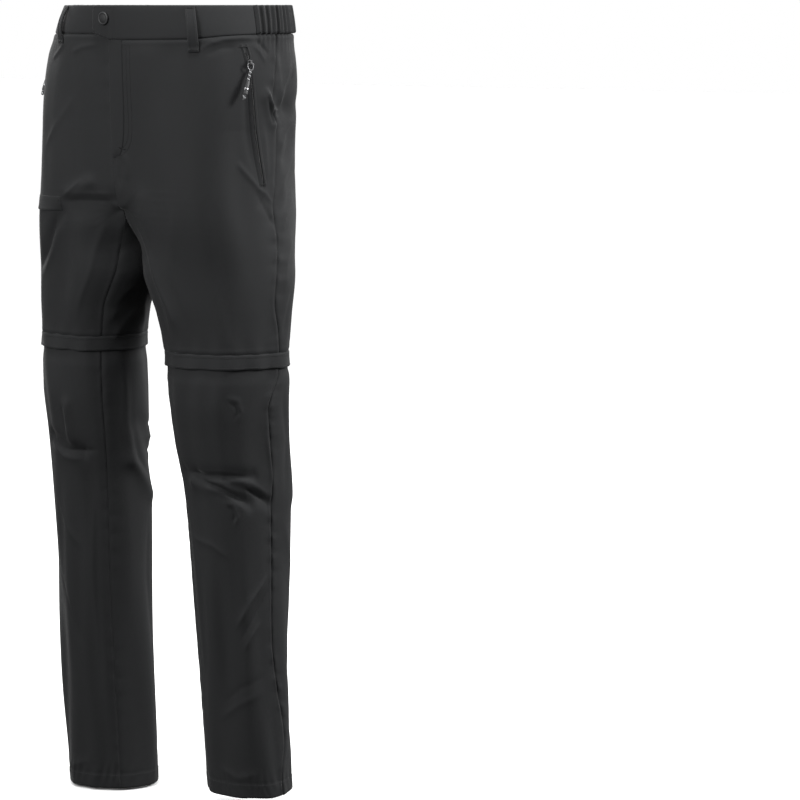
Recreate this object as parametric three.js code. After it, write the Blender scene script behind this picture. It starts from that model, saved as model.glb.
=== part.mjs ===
// Convertible zip-off trousers, filled out as they are when worn.
// Millimetres, +Z up. The wearer faces -Y, and the wearer's left is +X.
// The origin is the middle of the waist opening, level with its top edge.
//
// Each half of the garment is one smooth shell. A place on it has two numbers: "around" runs from 0 at
// the centre front (and down the inseam) over 0.5 at the side seam to 1 at the centre back (and the
// inseam again), and "down" is the depth below the waist. Every sewn piece is a wall cut from that shell.
import * as THREE from "three";

// Cloth and seams
const CLOTH = 1.6;
const BAND_CLOTH = 2.6;
const STRIP_CLOTH = 1.2;
const SEAM = 0.3;
const HALF_SEAM = SEAM / 2;

// Main heights, as depths below the waist
const SOFTENING_STARTS = 40;
const CROTCH_CURVE_STARTS = 130;
const CROTCH = 264;
const FLAP_HEIGHT = 20;
const FLAP_FLARE = 2.6;
const ZIP_TAPE_HEIGHT = 11.5;
const BAND_HEIGHT = 37;

// Horizontal sections of hip and waist: half width, middle, reach to the front and back, and how square
const HIP_ROWS = [
  { down: 0, half: 160, middle: 0, front: 129, back: 130, frontPower: 2, backPower: 2 },
  { down: 44, half: 171, middle: -7, front: 121, back: 138, frontPower: 2.3, backPower: 2 },
  { down: 100, half: 178, middle: -14, front: 114, back: 144, frontPower: 2.5, backPower: 2.15 },
  { down: 180, half: 182, middle: -18, front: 108, back: 146, frontPower: 2.7, backPower: 2.3 },
  { down: 264, half: 187, middle: -20, front: 105, back: 140, frontPower: 2.7, backPower: 2.3 },
];

// Horizontal sections of a leg: centre, half width and half depth, and their turn towards the back
const LEG_ROWS = [
  { down: 160, x: 78, y: -14, wide: 94, deep: 118, turn: 10 },
  { down: 264, x: 86, y: -17, wide: 98, deep: 111, turn: 15 },
  { down: 340, x: 97, y: -31, wide: 100, deep: 88, turn: 25 },
  { down: 400, x: 113, y: -40, wide: 88, deep: 71, turn: 32 },
  { down: 460, x: 117, y: -40, wide: 80, deep: 68, turn: 30 },
  { down: 510, x: 117, y: -38, wide: 77, deep: 69, turn: 30 },
  { down: 560, x: 117, y: -34, wide: 74, deep: 67, turn: 25 },
  { down: 640, x: 120, y: -25, wide: 69, deep: 65, turn: 10 },
  { down: 760, x: 121, y: -20, wide: 65, deep: 62, turn: -10 },
  { down: 900, x: 122, y: -14, wide: 64, deep: 56, turn: -18 },
  { down: 1065, x: 123, y: -4, wide: 62, deep: 52, turn: -18 },
];

// The corner of the leg section at the inseam, and how far below the crotch it fades away
const FORK_REACH = 0.24;
const FORK_HEIGHT = 60;

// Where the inseam and the side seam lie on a section, in degrees from the wearer's side
const SEAM_ROWS = [
  { down: 0, inseam: 222, outseam: 4 },
  { down: 130, inseam: 222, outseam: 2 },
  { down: 264, inseam: 222, outseam: 2 },
  { down: 340, inseam: 223, outseam: 3 },
  { down: 466, inseam: 222, outseam: 6 },
  { down: 520, inseam: 222, outseam: -4 },
  { down: 900, inseam: 222, outseam: -4 },
  { down: 1065, inseam: 222, outseam: 4 },
];

// The wearer's left leg is taken up a little more by the folds at its knee
const SIDES = [
  { name: "left", sign: 1, flapEdge: 466, hem: 1039 },
  { name: "right", sign: -1, flapEdge: 455, hem: 1065 },
];
const [LEFT, RIGHT] = SIDES;

// Largest folds: a ridge (+) or trough (-) from one place to another, with its half width and height
const FOLD_ROWS = [
  { side: LEFT, around: 0.09, down: 604, toAround: 0.4, toDown: 606, width: 9, height: -2.5 },
  { side: LEFT, around: 0.13, down: 616, toAround: 0.36, toDown: 622, width: 10, height: 3 },
  { side: LEFT, around: 0.16, down: 610, toAround: 0.375, toDown: 642, width: 9, height: -4 },
  { side: LEFT, around: 0.29, down: 614, toAround: 0.46, toDown: 642, width: 9, height: -3 },
  { side: LEFT, around: 0.08, down: 250, toAround: 0.12, toDown: 400, width: 14, height: 2 },
  { side: LEFT, around: 0.52, down: 135, toAround: 0.66, toDown: 130, width: 12, height: -4 },
  { side: LEFT, around: 0.46, down: 118, toAround: 0.5, toDown: 148, width: 9, height: 4 },
  { side: LEFT, around: 0.56, down: 480, toAround: 0.6, toDown: 640, width: 12, height: 3 },
  { side: RIGHT, around: 0.28, down: 574, toAround: 0.1, toDown: 594, width: 9, height: -4 },
  { side: RIGHT, around: 0.16, down: 530, toAround: 0.15, toDown: 578, width: 10, height: 3 },
  { side: RIGHT, around: 0.15, down: 254, toAround: 0, toDown: 252, width: 10, height: -3 },
  { side: RIGHT, around: 0.15, down: 246, toAround: 0.08, toDown: 230, width: 9, height: 3 },
  { side: RIGHT, around: 0.18, down: 272, toAround: 0.29, toDown: 342, width: 9, height: -3 },
  { side: RIGHT, around: 0.94, down: 460, toAround: 0.93, toDown: 608, width: 12, height: 3 },
  { side: RIGHT, around: 0.93, down: 608, toAround: 0.84, toDown: 660, width: 12, height: 3 },
  { side: RIGHT, around: 0.88, down: 560, toAround: 0.8, toDown: 640, width: 16, height: -4 },
];
const AROUND_LENGTH = 460;

// Levels at which the walls have a ring of points
const UPPER_LEVELS = [62, 84, 108, 134, 158, 186, 210, 232, 250, 258, 264, 269, 286, 316, 350, 386];
const LOWER_LEVELS = [492, 520, 550, 574, 590, 602, 614, 626, 640, 660, 710, 780, 860, 950];
const PANEL_COLUMNS = 14;

// Waistband: the left front laps over the right by a tab with a slanted end
const TAB_END = 0.056;
const TAB_RISE = 0.02;
const ELASTIC_STARTS = 0.412;
const ELASTIC_ENDS = 0.72;
const GATHERS = 14;
const POINTS_PER_GATHER = 4;
const GATHER_HEIGHT = 1.5;
const BAND_DROP_ROWS = [
  { around: 0, height: 44.5 },
  { around: 0.2, height: 43 },
  { around: 0.32, height: 38.5 },
  { around: ELASTIC_STARTS, height: BAND_HEIGHT },
];

const BELT_LOOP_WIDTH = 12.5;
const BELT_LOOP_BOW = 5;
const BELT_LOOPS = [
  { name: "front_left", side: LEFT, around: 0.2225, foot: 0.22, length: 59 },
  { name: "front_right", side: RIGHT, around: 0.2, foot: 0.1875, length: 49 },
  { name: "back_left", side: LEFT, around: 0.78, foot: 0.78, length: 52 },
  { name: "back_right", side: RIGHT, around: 0.78, foot: 0.78, length: 52 },
  { name: "back_centre", side: LEFT, around: 1, foot: 1, length: 52 },
];

const SNAP_RADIUS = 8.6;
const SNAP_HEIGHT = 3.4;
const SNAP_DOWN = 17;
const SNAP_AROUND = 0.015;

// Front pockets: a slanted zip from the waistband to near the side seam
const POCKET_TOP = { around: 0.361, down: 53 };
const POCKET_FOOT = { around: 0.456, down: 228 };
const POCKET_ZIP_WIDTH = 9;
const SLIDER_DOWN = 75;
const SLIDER = { width: 6, length: 10, base: 1.8, crown: 3.2, slot: 1.9, slotLength: 3.2, wall: 0.8 };
const BAIL = { width: 9.4, length: 9.5, wire: 1.2 };
const PULL_CORD = { radius: 1.6, length: 13 };
const GRIP = { width: 6.4, thickness: 4.4, length: 19 };
const PULL_TAIL = { radius: 2.1, length: 6 };
const PULL_LEAN = THREE.MathUtils.degToRad(11);
const CORD_SIDES = 8;

const FLY = { past: 0.004, inside: 0.03, foot: 196, lift: 0.5 };
const THIGH_WELT = { firstColumn: 5, lastColumn: 10, top: 250, foot: 269 };
const KNEE_SLIDER = { around: 0.53, width: 6, height: 5.5, thickness: 0.9, aboveEdge: 0.5 };

const CHARCOAL = { color: 0x2c2d2f, roughness: 0.85, metalness: 0 };
const FINISH = {
  cloth: CHARCOAL,
  band: { ...CHARCOAL, color: 0x2d2e30 },
  zip: { color: 0x17181a, roughness: 0.6, metalness: 0 },
  metal: { color: 0x2b2c2e, roughness: 0.35, metalness: 0.9 },
  rubber: { color: 0x1b1c1e, roughness: 0.6, metalness: 0 },
  cord: { color: 0x3a3b3d, roughness: 0.8, metalness: 0 },
};

// A monotone cubic through one column of a table whose key column rises
function smoothCurve(rows, column, key = "down") {
  const at = rows.map((row) => row[key]);
  const value = rows.map((row) => row[column]);
  const step = at.slice(1).map((x, i) => x - at[i]);
  const rise = step.map((width, i) => (value[i + 1] - value[i]) / width);
  const slope = at.map((_, i) => {
    if (i === 0) return rise[0];
    if (i === rise.length) return rise[i - 1];
    return rise[i - 1] * rise[i] <= 0 ? 0 : (2 * rise[i - 1] * rise[i]) / (rise[i - 1] + rise[i]);
  });
  return (where) => {
    const x = THREE.MathUtils.clamp(where, at[0], at.at(-1));
    const i = Math.max(0, Math.min(step.length - 1, at.findIndex((a) => a >= x) - 1));
    const s = (x - at[i]) / step[i];
    const from = value[i] * (1 + 2 * s) * (1 - s) ** 2 + slope[i] * step[i] * s * (1 - s) ** 2;
    return from + value[i + 1] * s * s * (3 - 2 * s) - slope[i + 1] * step[i] * s * s * (1 - s);
  };
}

// One smooth curve for each column but the key
function curvesOf(rows, key = "down") {
  const columns = Object.keys(rows[0]).filter((name) => name !== key);
  return Object.fromEntries(columns.map((name) => [name, smoothCurve(rows, name, key)]));
}

const hip = curvesOf(HIP_ROWS);
const leg = curvesOf(LEG_ROWS);
const seam = curvesOf(SEAM_ROWS);
const bandDrop = curvesOf(BAND_DROP_ROWS, "around");

const ease = (s) => THREE.MathUtils.smoothstep(s, 0, 1);
const squared = (ratio, power) => Math.sign(ratio) * Math.abs(ratio) ** (2 / power);

// The scale that carries a place on a unit circle out to the unit superellipse of a power
const squareScale = (angle, power) =>
  (Math.abs(Math.cos(angle)) ** power + Math.abs(Math.sin(angle)) ** power) ** (-1 / power);

// Share of the leg section in the shell: none at the waist, all of it below the crotch
function legShare(around, down) {
  const soft = ease((down - SOFTENING_STARTS) / (CROTCH - SOFTENING_STARTS));
  const s = THREE.MathUtils.clamp((down - CROTCH_CURVE_STARTS) / (CROTCH - CROTCH_CURVE_STARTS), 0, 1);
  const hook = around < 0.5 ? 4 : 2;
  const crotchCurve = 1 - (1 - s ** hook) ** (1 / hook);
  const nearCentre = (2 * around - 1) ** 4;
  return (1 - nearCentre) * soft + nearCentre * crotchCurve;
}

// The angle on a section that runs from first over side to last
function sectionAngle(around, first, side, last) {
  const degrees = around < 0.5
    ? first + (side - first) * around * 2
    : side + (last - side) * (around * 2 - 1);
  return THREE.MathUtils.degToRad(degrees);
}

// The bare shell, without folds
function shellPoint(side, around, down) {
  const outseam = seam.outseam(down);
  const inseam = seam.inseam(down);

  const hipAngle = sectionAngle(around, -90, outseam, 90);
  const isFront = Math.sin(hipAngle) < 0;
  const power = isFront ? hip.frontPower(down) : hip.backPower(down);
  const reach = isFront ? hip.front(down) : hip.back(down);
  const scale = squareScale(hipAngle, power);
  const hipX = hip.half(down) * scale * Math.cos(hipAngle);
  const hipY = hip.middle(down) + reach * scale * Math.sin(hipAngle);

  const turn = THREE.MathUtils.degToRad(leg.turn(down));
  const legAngle = sectionAngle(around, inseam, 360 + outseam, 360 + inseam) - turn;
  // Around the crotch the section reaches out at the inseam to the fork, where the two legs meet
  const reachOut = 1 + FORK_REACH * (2 * around - 1) ** 8 * (1 - ease((down - CROTCH) / FORK_HEIGHT));
  const along = leg.wide(down) * reachOut * Math.cos(legAngle);
  const across = leg.deep(down) * reachOut * Math.sin(legAngle);
  const legX = leg.x(down) + along * Math.cos(turn) - across * Math.sin(turn);
  const legY = leg.y(down) + along * Math.sin(turn) + across * Math.cos(turn);

  const share = legShare(around, down);
  const x = THREE.MathUtils.lerp(hipX, Math.max(legX, HALF_SEAM), share);
  const y = THREE.MathUtils.lerp(hipY, legY, share);
  return new THREE.Vector3(side.sign * Math.max(x, HALF_SEAM), y, -down);
}

// Below the crotch the shell closes at the inseam, so both sides of it share one normal there
function shellNormal(side, around, down) {
  let [before, after] = [around - 0.004, around + 0.004];
  if (down < CROTCH) [before, after] = [Math.max(before, 0), Math.min(after, 1)];
  const inShell = (place) => place - Math.floor(Math.abs(place - 0.5) > 0.5 ? place : 0);
  const acrossStep = shellPoint(side, inShell(after), down).sub(shellPoint(side, inShell(before), down));
  const above = down < CROTCH ? down - 1.5 : Math.max(down - 1.5, CROTCH);
  const downStep = shellPoint(side, around, down + 1.5).sub(shellPoint(side, around, above));
  return downStep.cross(acrossStep).multiplyScalar(side.sign).normalize();
}

// Height of all folds at a place: each is a soft bank around the line between its two ends
function foldHeight(side, around, down) {
  let height = 0;
  for (const fold of FOLD_ROWS) {
    if (fold.side !== side) continue;
    const start = new THREE.Vector2(fold.around * AROUND_LENGTH, fold.down);
    const run = new THREE.Vector2(fold.toAround * AROUND_LENGTH, fold.toDown).sub(start);
    const place = new THREE.Vector2(around * AROUND_LENGTH, down).sub(start);
    const share = THREE.MathUtils.clamp(place.dot(run) / run.lengthSq(), 0, 1);
    const distance = place.distanceTo(run.multiplyScalar(share));
    height += fold.height * Math.exp(-((distance / fold.width) ** 2));
  }
  return height;
}

// A place on the cloth, moved out by lift, kept on its own side of the middle plane
function clothPoint(side, around, down, lift = 0) {
  const point = shellPoint(side, around, down);
  const rise = lift + foldHeight(side, around, down);
  point.addScaledVector(shellNormal(side, around, down), rise);
  point.x = side.sign * Math.max(point.x * side.sign, HALF_SEAM);
  return point;
}

// The same for a place that may lie past the centre front or back: a negative one is on the right
function roundPoint(around, down, lift) {
  const wrapped = around > 1 ? around - 2 : around;
  const side = wrapped < 0 ? RIGHT : LEFT;
  return clothPoint(side, Math.abs(wrapped), down, lift);
}

const spaced = (from, to, steps) =>
  Array.from({ length: steps + 1 }, (_, i) => THREE.MathUtils.lerp(from, to, i / steps));

// A closed wall from two layers of points, pointAt(column, row, layer), with layer 0 outside.
// With isRing the last column joins the first.
function wallGeometry(columns, rows, pointAt, isRing = false) {
  const positions = [];
  for (const layer of [0, 1])
    for (const row of rows)
      for (const column of columns) positions.push(...pointAt(column, row, layer).toArray());

  const width = columns.length;
  const layerSize = width * rows.length;
  const quads = [];
  const at = (i, j, layer) => layer * layerSize + j * width + (i % width);
  const lastColumn = isRing ? width : width - 1;
  const lastRow = rows.length - 1;
  for (let i = 0; i < lastColumn; i++) {
    for (let j = 0; j < lastRow; j++) {
      quads.push([at(i, j, 0), at(i, j + 1, 0), at(i + 1, j + 1, 0), at(i + 1, j, 0)]);
      quads.push([at(i, j, 1), at(i + 1, j, 1), at(i + 1, j + 1, 1), at(i, j + 1, 1)]);
    }
    quads.push([at(i, 0, 0), at(i + 1, 0, 0), at(i + 1, 0, 1), at(i, 0, 1)]);
    quads.push([at(i, lastRow, 0), at(i, lastRow, 1), at(i + 1, lastRow, 1), at(i + 1, lastRow, 0)]);
  }
  if (!isRing) {
    const last = width - 1;
    for (let j = 0; j < lastRow; j++) {
      quads.push([at(0, j, 0), at(0, j, 1), at(0, j + 1, 1), at(0, j + 1, 0)]);
      quads.push([at(last, j, 0), at(last, j + 1, 0), at(last, j + 1, 1), at(last, j, 1)]);
    }
  }
  return facingOut(positions, quads.flatMap(([a, b, c, d]) => [a, b, c, a, c, d]));
}

// Turns the triangles round where the body would be inside out
function facingOut(positions, index) {
  const corner = (i) => new THREE.Vector3().fromArray(positions, index[i] * 3);
  let volume = 0;
  for (let i = 0; i < index.length; i += 3)
    volume += corner(i).dot(corner(i + 1).cross(corner(i + 2)));
  if (volume < 0) index.reverse();
  const geometry = new THREE.BufferGeometry();
  geometry.setAttribute("position", new THREE.Float32BufferAttribute(positions, 3));
  geometry.setIndex(index);
  geometry.computeVertexNormals();
  return geometry;
}

// Columns of the front and back panels, which stop half a seam short of the side seam and the inseam
const HALF_SEAM_AROUND = HALF_SEAM / AROUND_LENGTH;
const FRONT_COLUMNS = spaced(HALF_SEAM_AROUND, 0.5 - HALF_SEAM_AROUND, PANEL_COLUMNS);
const BACK_COLUMNS = FRONT_COLUMNS.map((around) => around + 0.5);
const RING_COLUMNS = spaced(0, 1, 2 * PANEL_COLUMNS).slice(0, -1);

const trousers = new THREE.Group();
trousers.name = "zip_off_trousers";

function add(name, geometry, finish) {
  const mesh = new THREE.Mesh(geometry, new THREE.MeshStandardMaterial(finish));
  mesh.name = name;
  trousers.add(mesh);
  return mesh;
}

// Height of the waistband on a side: the left front is a little deeper towards the fly
function bandHeight(side, around) {
  return side === LEFT && around < ELASTIC_STARTS ? bandDrop.height(around) : BAND_HEIGHT;
}

// The left front band, whose tab past the centre front has a slanted lower edge
function tabHeight(around) {
  const slant = THREE.MathUtils.clamp(-around / TAB_END, 0, 1);
  return THREE.MathUtils.lerp(bandHeight(LEFT, Math.max(around, 0)), BAND_HEIGHT - 1, slant);
}

function bandPiece(columns, liftAt, heightAt) {
  return wallGeometry(columns, [0, 1], (around, share, layer) =>
    roundPoint(around, share * heightAt(around), liftAt(around) - layer * BAND_CLOTH));
}

function addWaistband() {
  const overRightBand = (around) => (BAND_CLOTH + SEAM) * ease(1 - around / TAB_RISE);
  const gap = HALF_SEAM_AROUND;
  const leftColumns = [...spaced(-TAB_END, 0, 4), ...spaced(TAB_RISE / 2, ELASTIC_STARTS - gap, 14)];
  add("waistband_front_left", bandPiece(leftColumns, overRightBand, tabHeight), FINISH.band);
  add(
    "waistband_front_right",
    bandPiece(spaced(-gap, -ELASTIC_STARTS + gap, 12), () => 0, () => BAND_HEIGHT),
    FINISH.band,
  );
  for (const side of SIDES) {
    const columns = spaced(ELASTIC_STARTS + gap, ELASTIC_ENDS - gap, GATHERS * POINTS_PER_GATHER);
    const gather = (around) => {
      const share = (Math.abs(around) - ELASTIC_STARTS) / (ELASTIC_ENDS - ELASTIC_STARTS);
      return GATHER_HEIGHT * Math.sin(Math.PI * GATHERS * share) ** 2;
    };
    const signed = columns.map((around) => around * side.sign);
    add(`waistband_elastic_${side.name}`, bandPiece(signed, gather, () => BAND_HEIGHT), FINISH.band);
  }
  const backColumns = spaced(ELASTIC_ENDS + gap, 2 - ELASTIC_ENDS - gap, 18);
  add("waistband_back", bandPiece(backColumns, () => 0, () => BAND_HEIGHT), FINISH.band);
}

// A belt loop bows away from the band between its two sewn ends
function addBeltLoops() {
  const halfWidth = BELT_LOOP_WIDTH / 2 / AROUND_LENGTH;
  const proud = SEAM + BELT_LOOP_BOW;
  for (const loop of BELT_LOOPS) {
    const pointAt = (across, share, layer) => {
      const around = THREE.MathUtils.lerp(loop.around, loop.foot, share) + across * halfWidth;
      const bow = THREE.MathUtils.lerp(SEAM, proud, Math.sin(Math.PI * share) ** 0.7);
      const lift = bow + (1 - layer) * CLOTH;
      return loop.side === LEFT
        ? roundPoint(around, 1 + share * loop.length, lift)
        : clothPoint(loop.side, around, 1 + share * loop.length, lift);
    };
    add(`belt_loop_${loop.name}`, wallGeometry([-1, 0, 1], spaced(0, 1, 10), pointAt), FINISH.band);
  }
}

// A place with its own axes: x around the body, y down the cloth, z out
function frameAt(side, around, down, lift) {
  const out = shellNormal(side, around, down);
  const fall = shellPoint(side, around, down + 2).sub(shellPoint(side, around, down - 2)).normalize();
  const across = new THREE.Vector3().crossVectors(fall, out).normalize();
  const matrix = new THREE.Matrix4().makeBasis(across, fall, out);
  matrix.setPosition(clothPoint(side, around, down, lift));
  return matrix;
}

function addSnap() {
  const crown = SNAP_HEIGHT / 2;
  const profile = [
    [0, -crown], [SNAP_RADIUS - 1, -crown], [SNAP_RADIUS, -crown + 0.8],
    [SNAP_RADIUS, crown - 1.2], [SNAP_RADIUS - 1.2, crown], [SNAP_RADIUS - 2.2, crown],
    [SNAP_RADIUS - 3, crown - 0.6], [0, crown - 0.6],
  ].map(([radius, height]) => new THREE.Vector2(radius, height));
  const geometry = new THREE.LatheGeometry(profile, 28).rotateX(Math.PI / 2);
  const lift = BAND_CLOTH + 2 * SEAM + crown;
  const snap = add("snap_button", geometry, FINISH.metal);
  snap.applyMatrix4(frameAt(RIGHT, SNAP_AROUND, SNAP_DOWN, lift));
}

// The folded edge of the left front, which laps over the right front down to the end of the fly
function addFly() {
  const rows = spaced(0, 1, 12);
  const pointAt = (across, share, layer) => {
    const taper = Math.sqrt(Math.max(0, 1 - share ** 6));
    const around = across < 0 ? across * FLY.past * taper : across * FLY.inside * (0.25 + 0.75 * taper);
    const down = THREE.MathUtils.lerp(tabHeight(around) + SEAM, FLY.foot, share);
    return roundPoint(around, down, FLY.lift + (1 - layer) * STRIP_CLOTH);
  };
  add("fly_lap", wallGeometry([-1, -0.5, 0, 0.5, 1], rows, pointAt), FINISH.cloth);
}

function addUpperLegs() {
  const panels = [
    { name: "front", columns: FRONT_COLUMNS },
    { name: "back", columns: BACK_COLUMNS },
  ];
  for (const side of SIDES) {
    const foot = side.flapEdge - FLAP_HEIGHT;
    const rows = [0, ...UPPER_LEVELS, 0.5 * (UPPER_LEVELS.at(-1) + foot), foot];
    const topAt = (around) => bandHeight(side, around) + SEAM;
    for (const panel of panels) {
      const geometry = wallGeometry(panel.columns, rows, (around, down, layer) =>
        clothPoint(side, around, down || topAt(around), -layer * CLOTH));
      add(`${panel.name}_${side.name}`, geometry, FINISH.cloth);
    }
  }
}

// The flap over the knee zip flares a little towards its edge
function addFlaps() {
  for (const side of SIDES) {
    const top = side.flapEdge - FLAP_HEIGHT + SEAM;
    const pointAt = (around, share, layer) => {
      const down = THREE.MathUtils.lerp(top, side.flapEdge, share);
      return clothPoint(side, around, down, FLAP_FLARE * share - layer * CLOTH);
    };
    add(`flap_${side.name}`, wallGeometry(RING_COLUMNS, [0, 1], pointAt, true), FINISH.cloth);
  }
}

const UNDER_FLAP = -(CLOTH + SEAM);

function addKneeZips() {
  for (const side of SIDES) {
    const top = side.flapEdge - FLAP_HEIGHT + SEAM;
    const tape = (around, share, layer) =>
      clothPoint(side, around, top + share * ZIP_TAPE_HEIGHT, UNDER_FLAP - layer * STRIP_CLOTH);
    add(`knee_zip_${side.name}`, wallGeometry(RING_COLUMNS, [0, 1], tape, true), FINISH.zip);

    const { width, height, thickness, aboveEdge, around } = KNEE_SLIDER;
    const slider = add(
      `knee_zip_slider_${side.name}`,
      new THREE.BoxGeometry(width, height, thickness),
      FINISH.metal,
    );
    const down = side.flapEdge - aboveEdge - height / 2;
    slider.applyMatrix4(frameAt(side, around, down, UNDER_FLAP + SEAM + thickness / 2));
  }
}

// The lower leg starts under the flap and comes out to the shell below it
function addLowerLegs() {
  const panels = [
    { name: "lower_front", columns: FRONT_COLUMNS },
    { name: "lower_back", columns: BACK_COLUMNS },
  ];
  for (const side of SIDES) {
    const top = side.flapEdge - FLAP_HEIGHT + ZIP_TAPE_HEIGHT + 2 * SEAM;
    const rows = [top, side.flapEdge, ...LOWER_LEVELS, side.hem];
    const liftAt = (down) => UNDER_FLAP * (1 - ease((down - side.flapEdge) / 22));
    for (const panel of panels) {
      const geometry = wallGeometry(panel.columns, rows, (around, down, layer) =>
        clothPoint(side, around, down, liftAt(down) - layer * CLOTH));
      add(`${panel.name}_${side.name}`, geometry, FINISH.cloth);
    }
  }
}

const pocketLine = (share) => ({
  around: THREE.MathUtils.lerp(POCKET_TOP.around, POCKET_FOOT.around, share ** 0.8),
  down: THREE.MathUtils.lerp(POCKET_TOP.down, POCKET_FOOT.down, share),
});

function addPockets() {
  const halfWidth = POCKET_ZIP_WIDTH / 2 / AROUND_LENGTH;
  for (const side of SIDES) {
    const pointAt = (across, share, layer) => {
      const { around, down } = pocketLine(share);
      return clothPoint(side, around + across * halfWidth, down, SEAM + (1 - layer) * STRIP_CLOTH);
    };
    add(`pocket_zip_${side.name}`, wallGeometry([-1, 0, 1], spaced(0, 1, 14), pointAt), FINISH.zip);
    addPocketPull(side);
  }
  const { firstColumn, lastColumn, top, foot } = THIGH_WELT;
  const columns = FRONT_COLUMNS.slice(firstColumn, lastColumn + 1);
  const levels = UPPER_LEVELS.filter((down) => down >= top && down <= foot);
  const welt = (around, down, layer) => clothPoint(RIGHT, around, down, SEAM + (1 - layer) * STRIP_CLOTH);
  add("thigh_pocket_welt", wallGeometry(columns, levels, welt), FINISH.cloth);
}

// The side outline of a slider: a base plate with a crown over a slot, which the bail passes through
function sliderGeometry() {
  const { width, length, base, crown, slot, slotLength, wall } = SLIDER;
  const side = new THREE.Shape();
  const crownHalf = slotLength / 2 + wall;
  side.moveTo(-length / 2, 0).lineTo(length / 2, 0).lineTo(length / 2, base).lineTo(crownHalf, base);
  side.lineTo(crownHalf, base + crown - wall).lineTo(crownHalf - wall, base + crown);
  side.lineTo(wall - crownHalf, base + crown).lineTo(-crownHalf, base + crown - wall);
  side.lineTo(-crownHalf, base).lineTo(-length / 2, base).closePath();
  const hole = new THREE.Path();
  const floor = base + crown - wall - slot;
  hole.moveTo(-slotLength / 2, floor).lineTo(-slotLength / 2, floor + slot);
  hole.lineTo(slotLength / 2, floor + slot).lineTo(slotLength / 2, floor).closePath();
  side.holes.push(hole);
  const geometry = new THREE.ExtrudeGeometry(side, { depth: width, bevelEnabled: false });
  // From the outline's plane to the slider's own axes: length along y, height along z, width along x
  const axes = new THREE.Matrix4().makeBasis(
    new THREE.Vector3(0, 1, 0), new THREE.Vector3(0, 0, 1), new THREE.Vector3(1, 0, 0));
  return geometry.applyMatrix4(axes).translate(-width / 2, 0, 0);
}

// A tube of round section along a smooth path through points
function tubeGeometry(points, radius, steps, closed = false) {
  const path = new THREE.CatmullRomCurve3(points, closed, "catmullrom", 0.4);
  const section = new THREE.Shape(
    spaced(0, 2 * Math.PI, CORD_SIDES).slice(0, -1)
      .map((angle) => new THREE.Vector2(radius * Math.cos(angle), radius * Math.sin(angle))));
  return new THREE.ExtrudeGeometry(section, { steps, bevelEnabled: false, extrudePath: path });
}

function bailGeometry() {
  const { width, length, wire } = BAIL;
  const x = (width - wire) / 2;
  const outline = [
    [0, 0], [x - 1, 0], [x, 1], [x, length * 0.5], [x * 0.8, length - wire * 1.5], [0, length - wire],
    [-x * 0.8, length - wire * 1.5], [-x, length * 0.5], [-x, 1], [1 - x, 0],
  ];
  return closedTube(outline.map(([px, py]) => new THREE.Vector3(px, py, 0)), wire / 2);
}

// A closed wire: rings of points around a flat closed outline, joined end to end
function closedTube(outline, radius) {
  const sides = 6;
  const path = new THREE.CatmullRomCurve3(outline, true, "catmullrom", 0.3);
  const places = spaced(0, 1, 30).slice(0, -1);
  const out = new THREE.Vector3(0, 0, 1);
  const positions = [];
  for (const place of places) {
    const across = new THREE.Vector3().crossVectors(path.getTangentAt(place), out).normalize();
    for (const angle of spaced(0, 2 * Math.PI, sides).slice(0, -1)) {
      const point = path.getPointAt(place);
      point.addScaledVector(across, radius * Math.cos(angle));
      point.addScaledVector(out, radius * Math.sin(angle));
      positions.push(...point.toArray());
    }
  }
  const index = [];
  const at = (i, j) => (i % places.length) * sides + (j % sides);
  for (let i = 0; i < places.length; i++)
    for (let j = 0; j < sides; j++)
      index.push(at(i, j), at(i + 1, j), at(i + 1, j + 1), at(i, j), at(i + 1, j + 1), at(i, j + 1));
  return facingOut(positions, index);
}

// The moulded grip: a rounded bar that narrows towards the cord
function gripGeometry() {
  const { width, thickness, length } = GRIP;
  const levels = [
    { y: 0, scale: 0.72 }, { y: 0.12, scale: 0.85 }, { y: 0.5, scale: 0.95 },
    { y: 0.85, scale: 1 }, { y: 1, scale: 0.88 },
  ];
  const sides = 12;
  const positions = levels.flatMap(({ y, scale }) =>
    spaced(0, 2 * Math.PI, sides).slice(0, -1).flatMap((angle) => [
      0.5 * width * scale * squared(Math.cos(angle), 3),
      y * length,
      0.5 * thickness * scale * squared(Math.sin(angle), 3),
    ]));
  const top = positions.length / 3;
  positions.push(0, 0, 0, 0, length, 0);
  const index = [];
  for (let j = 0; j < sides; j++) {
    const next = (j + 1) % sides;
    for (let i = 0; i < levels.length - 1; i++) {
      const [a, b] = [i * sides, (i + 1) * sides];
      index.push(a + j, b + j, b + next, a + j, b + next, a + next);
    }
    const foot = (levels.length - 1) * sides;
    index.push(top, j, next, top + 1, foot + next, foot + j);
  }
  return facingOut(positions, index);
}

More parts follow.
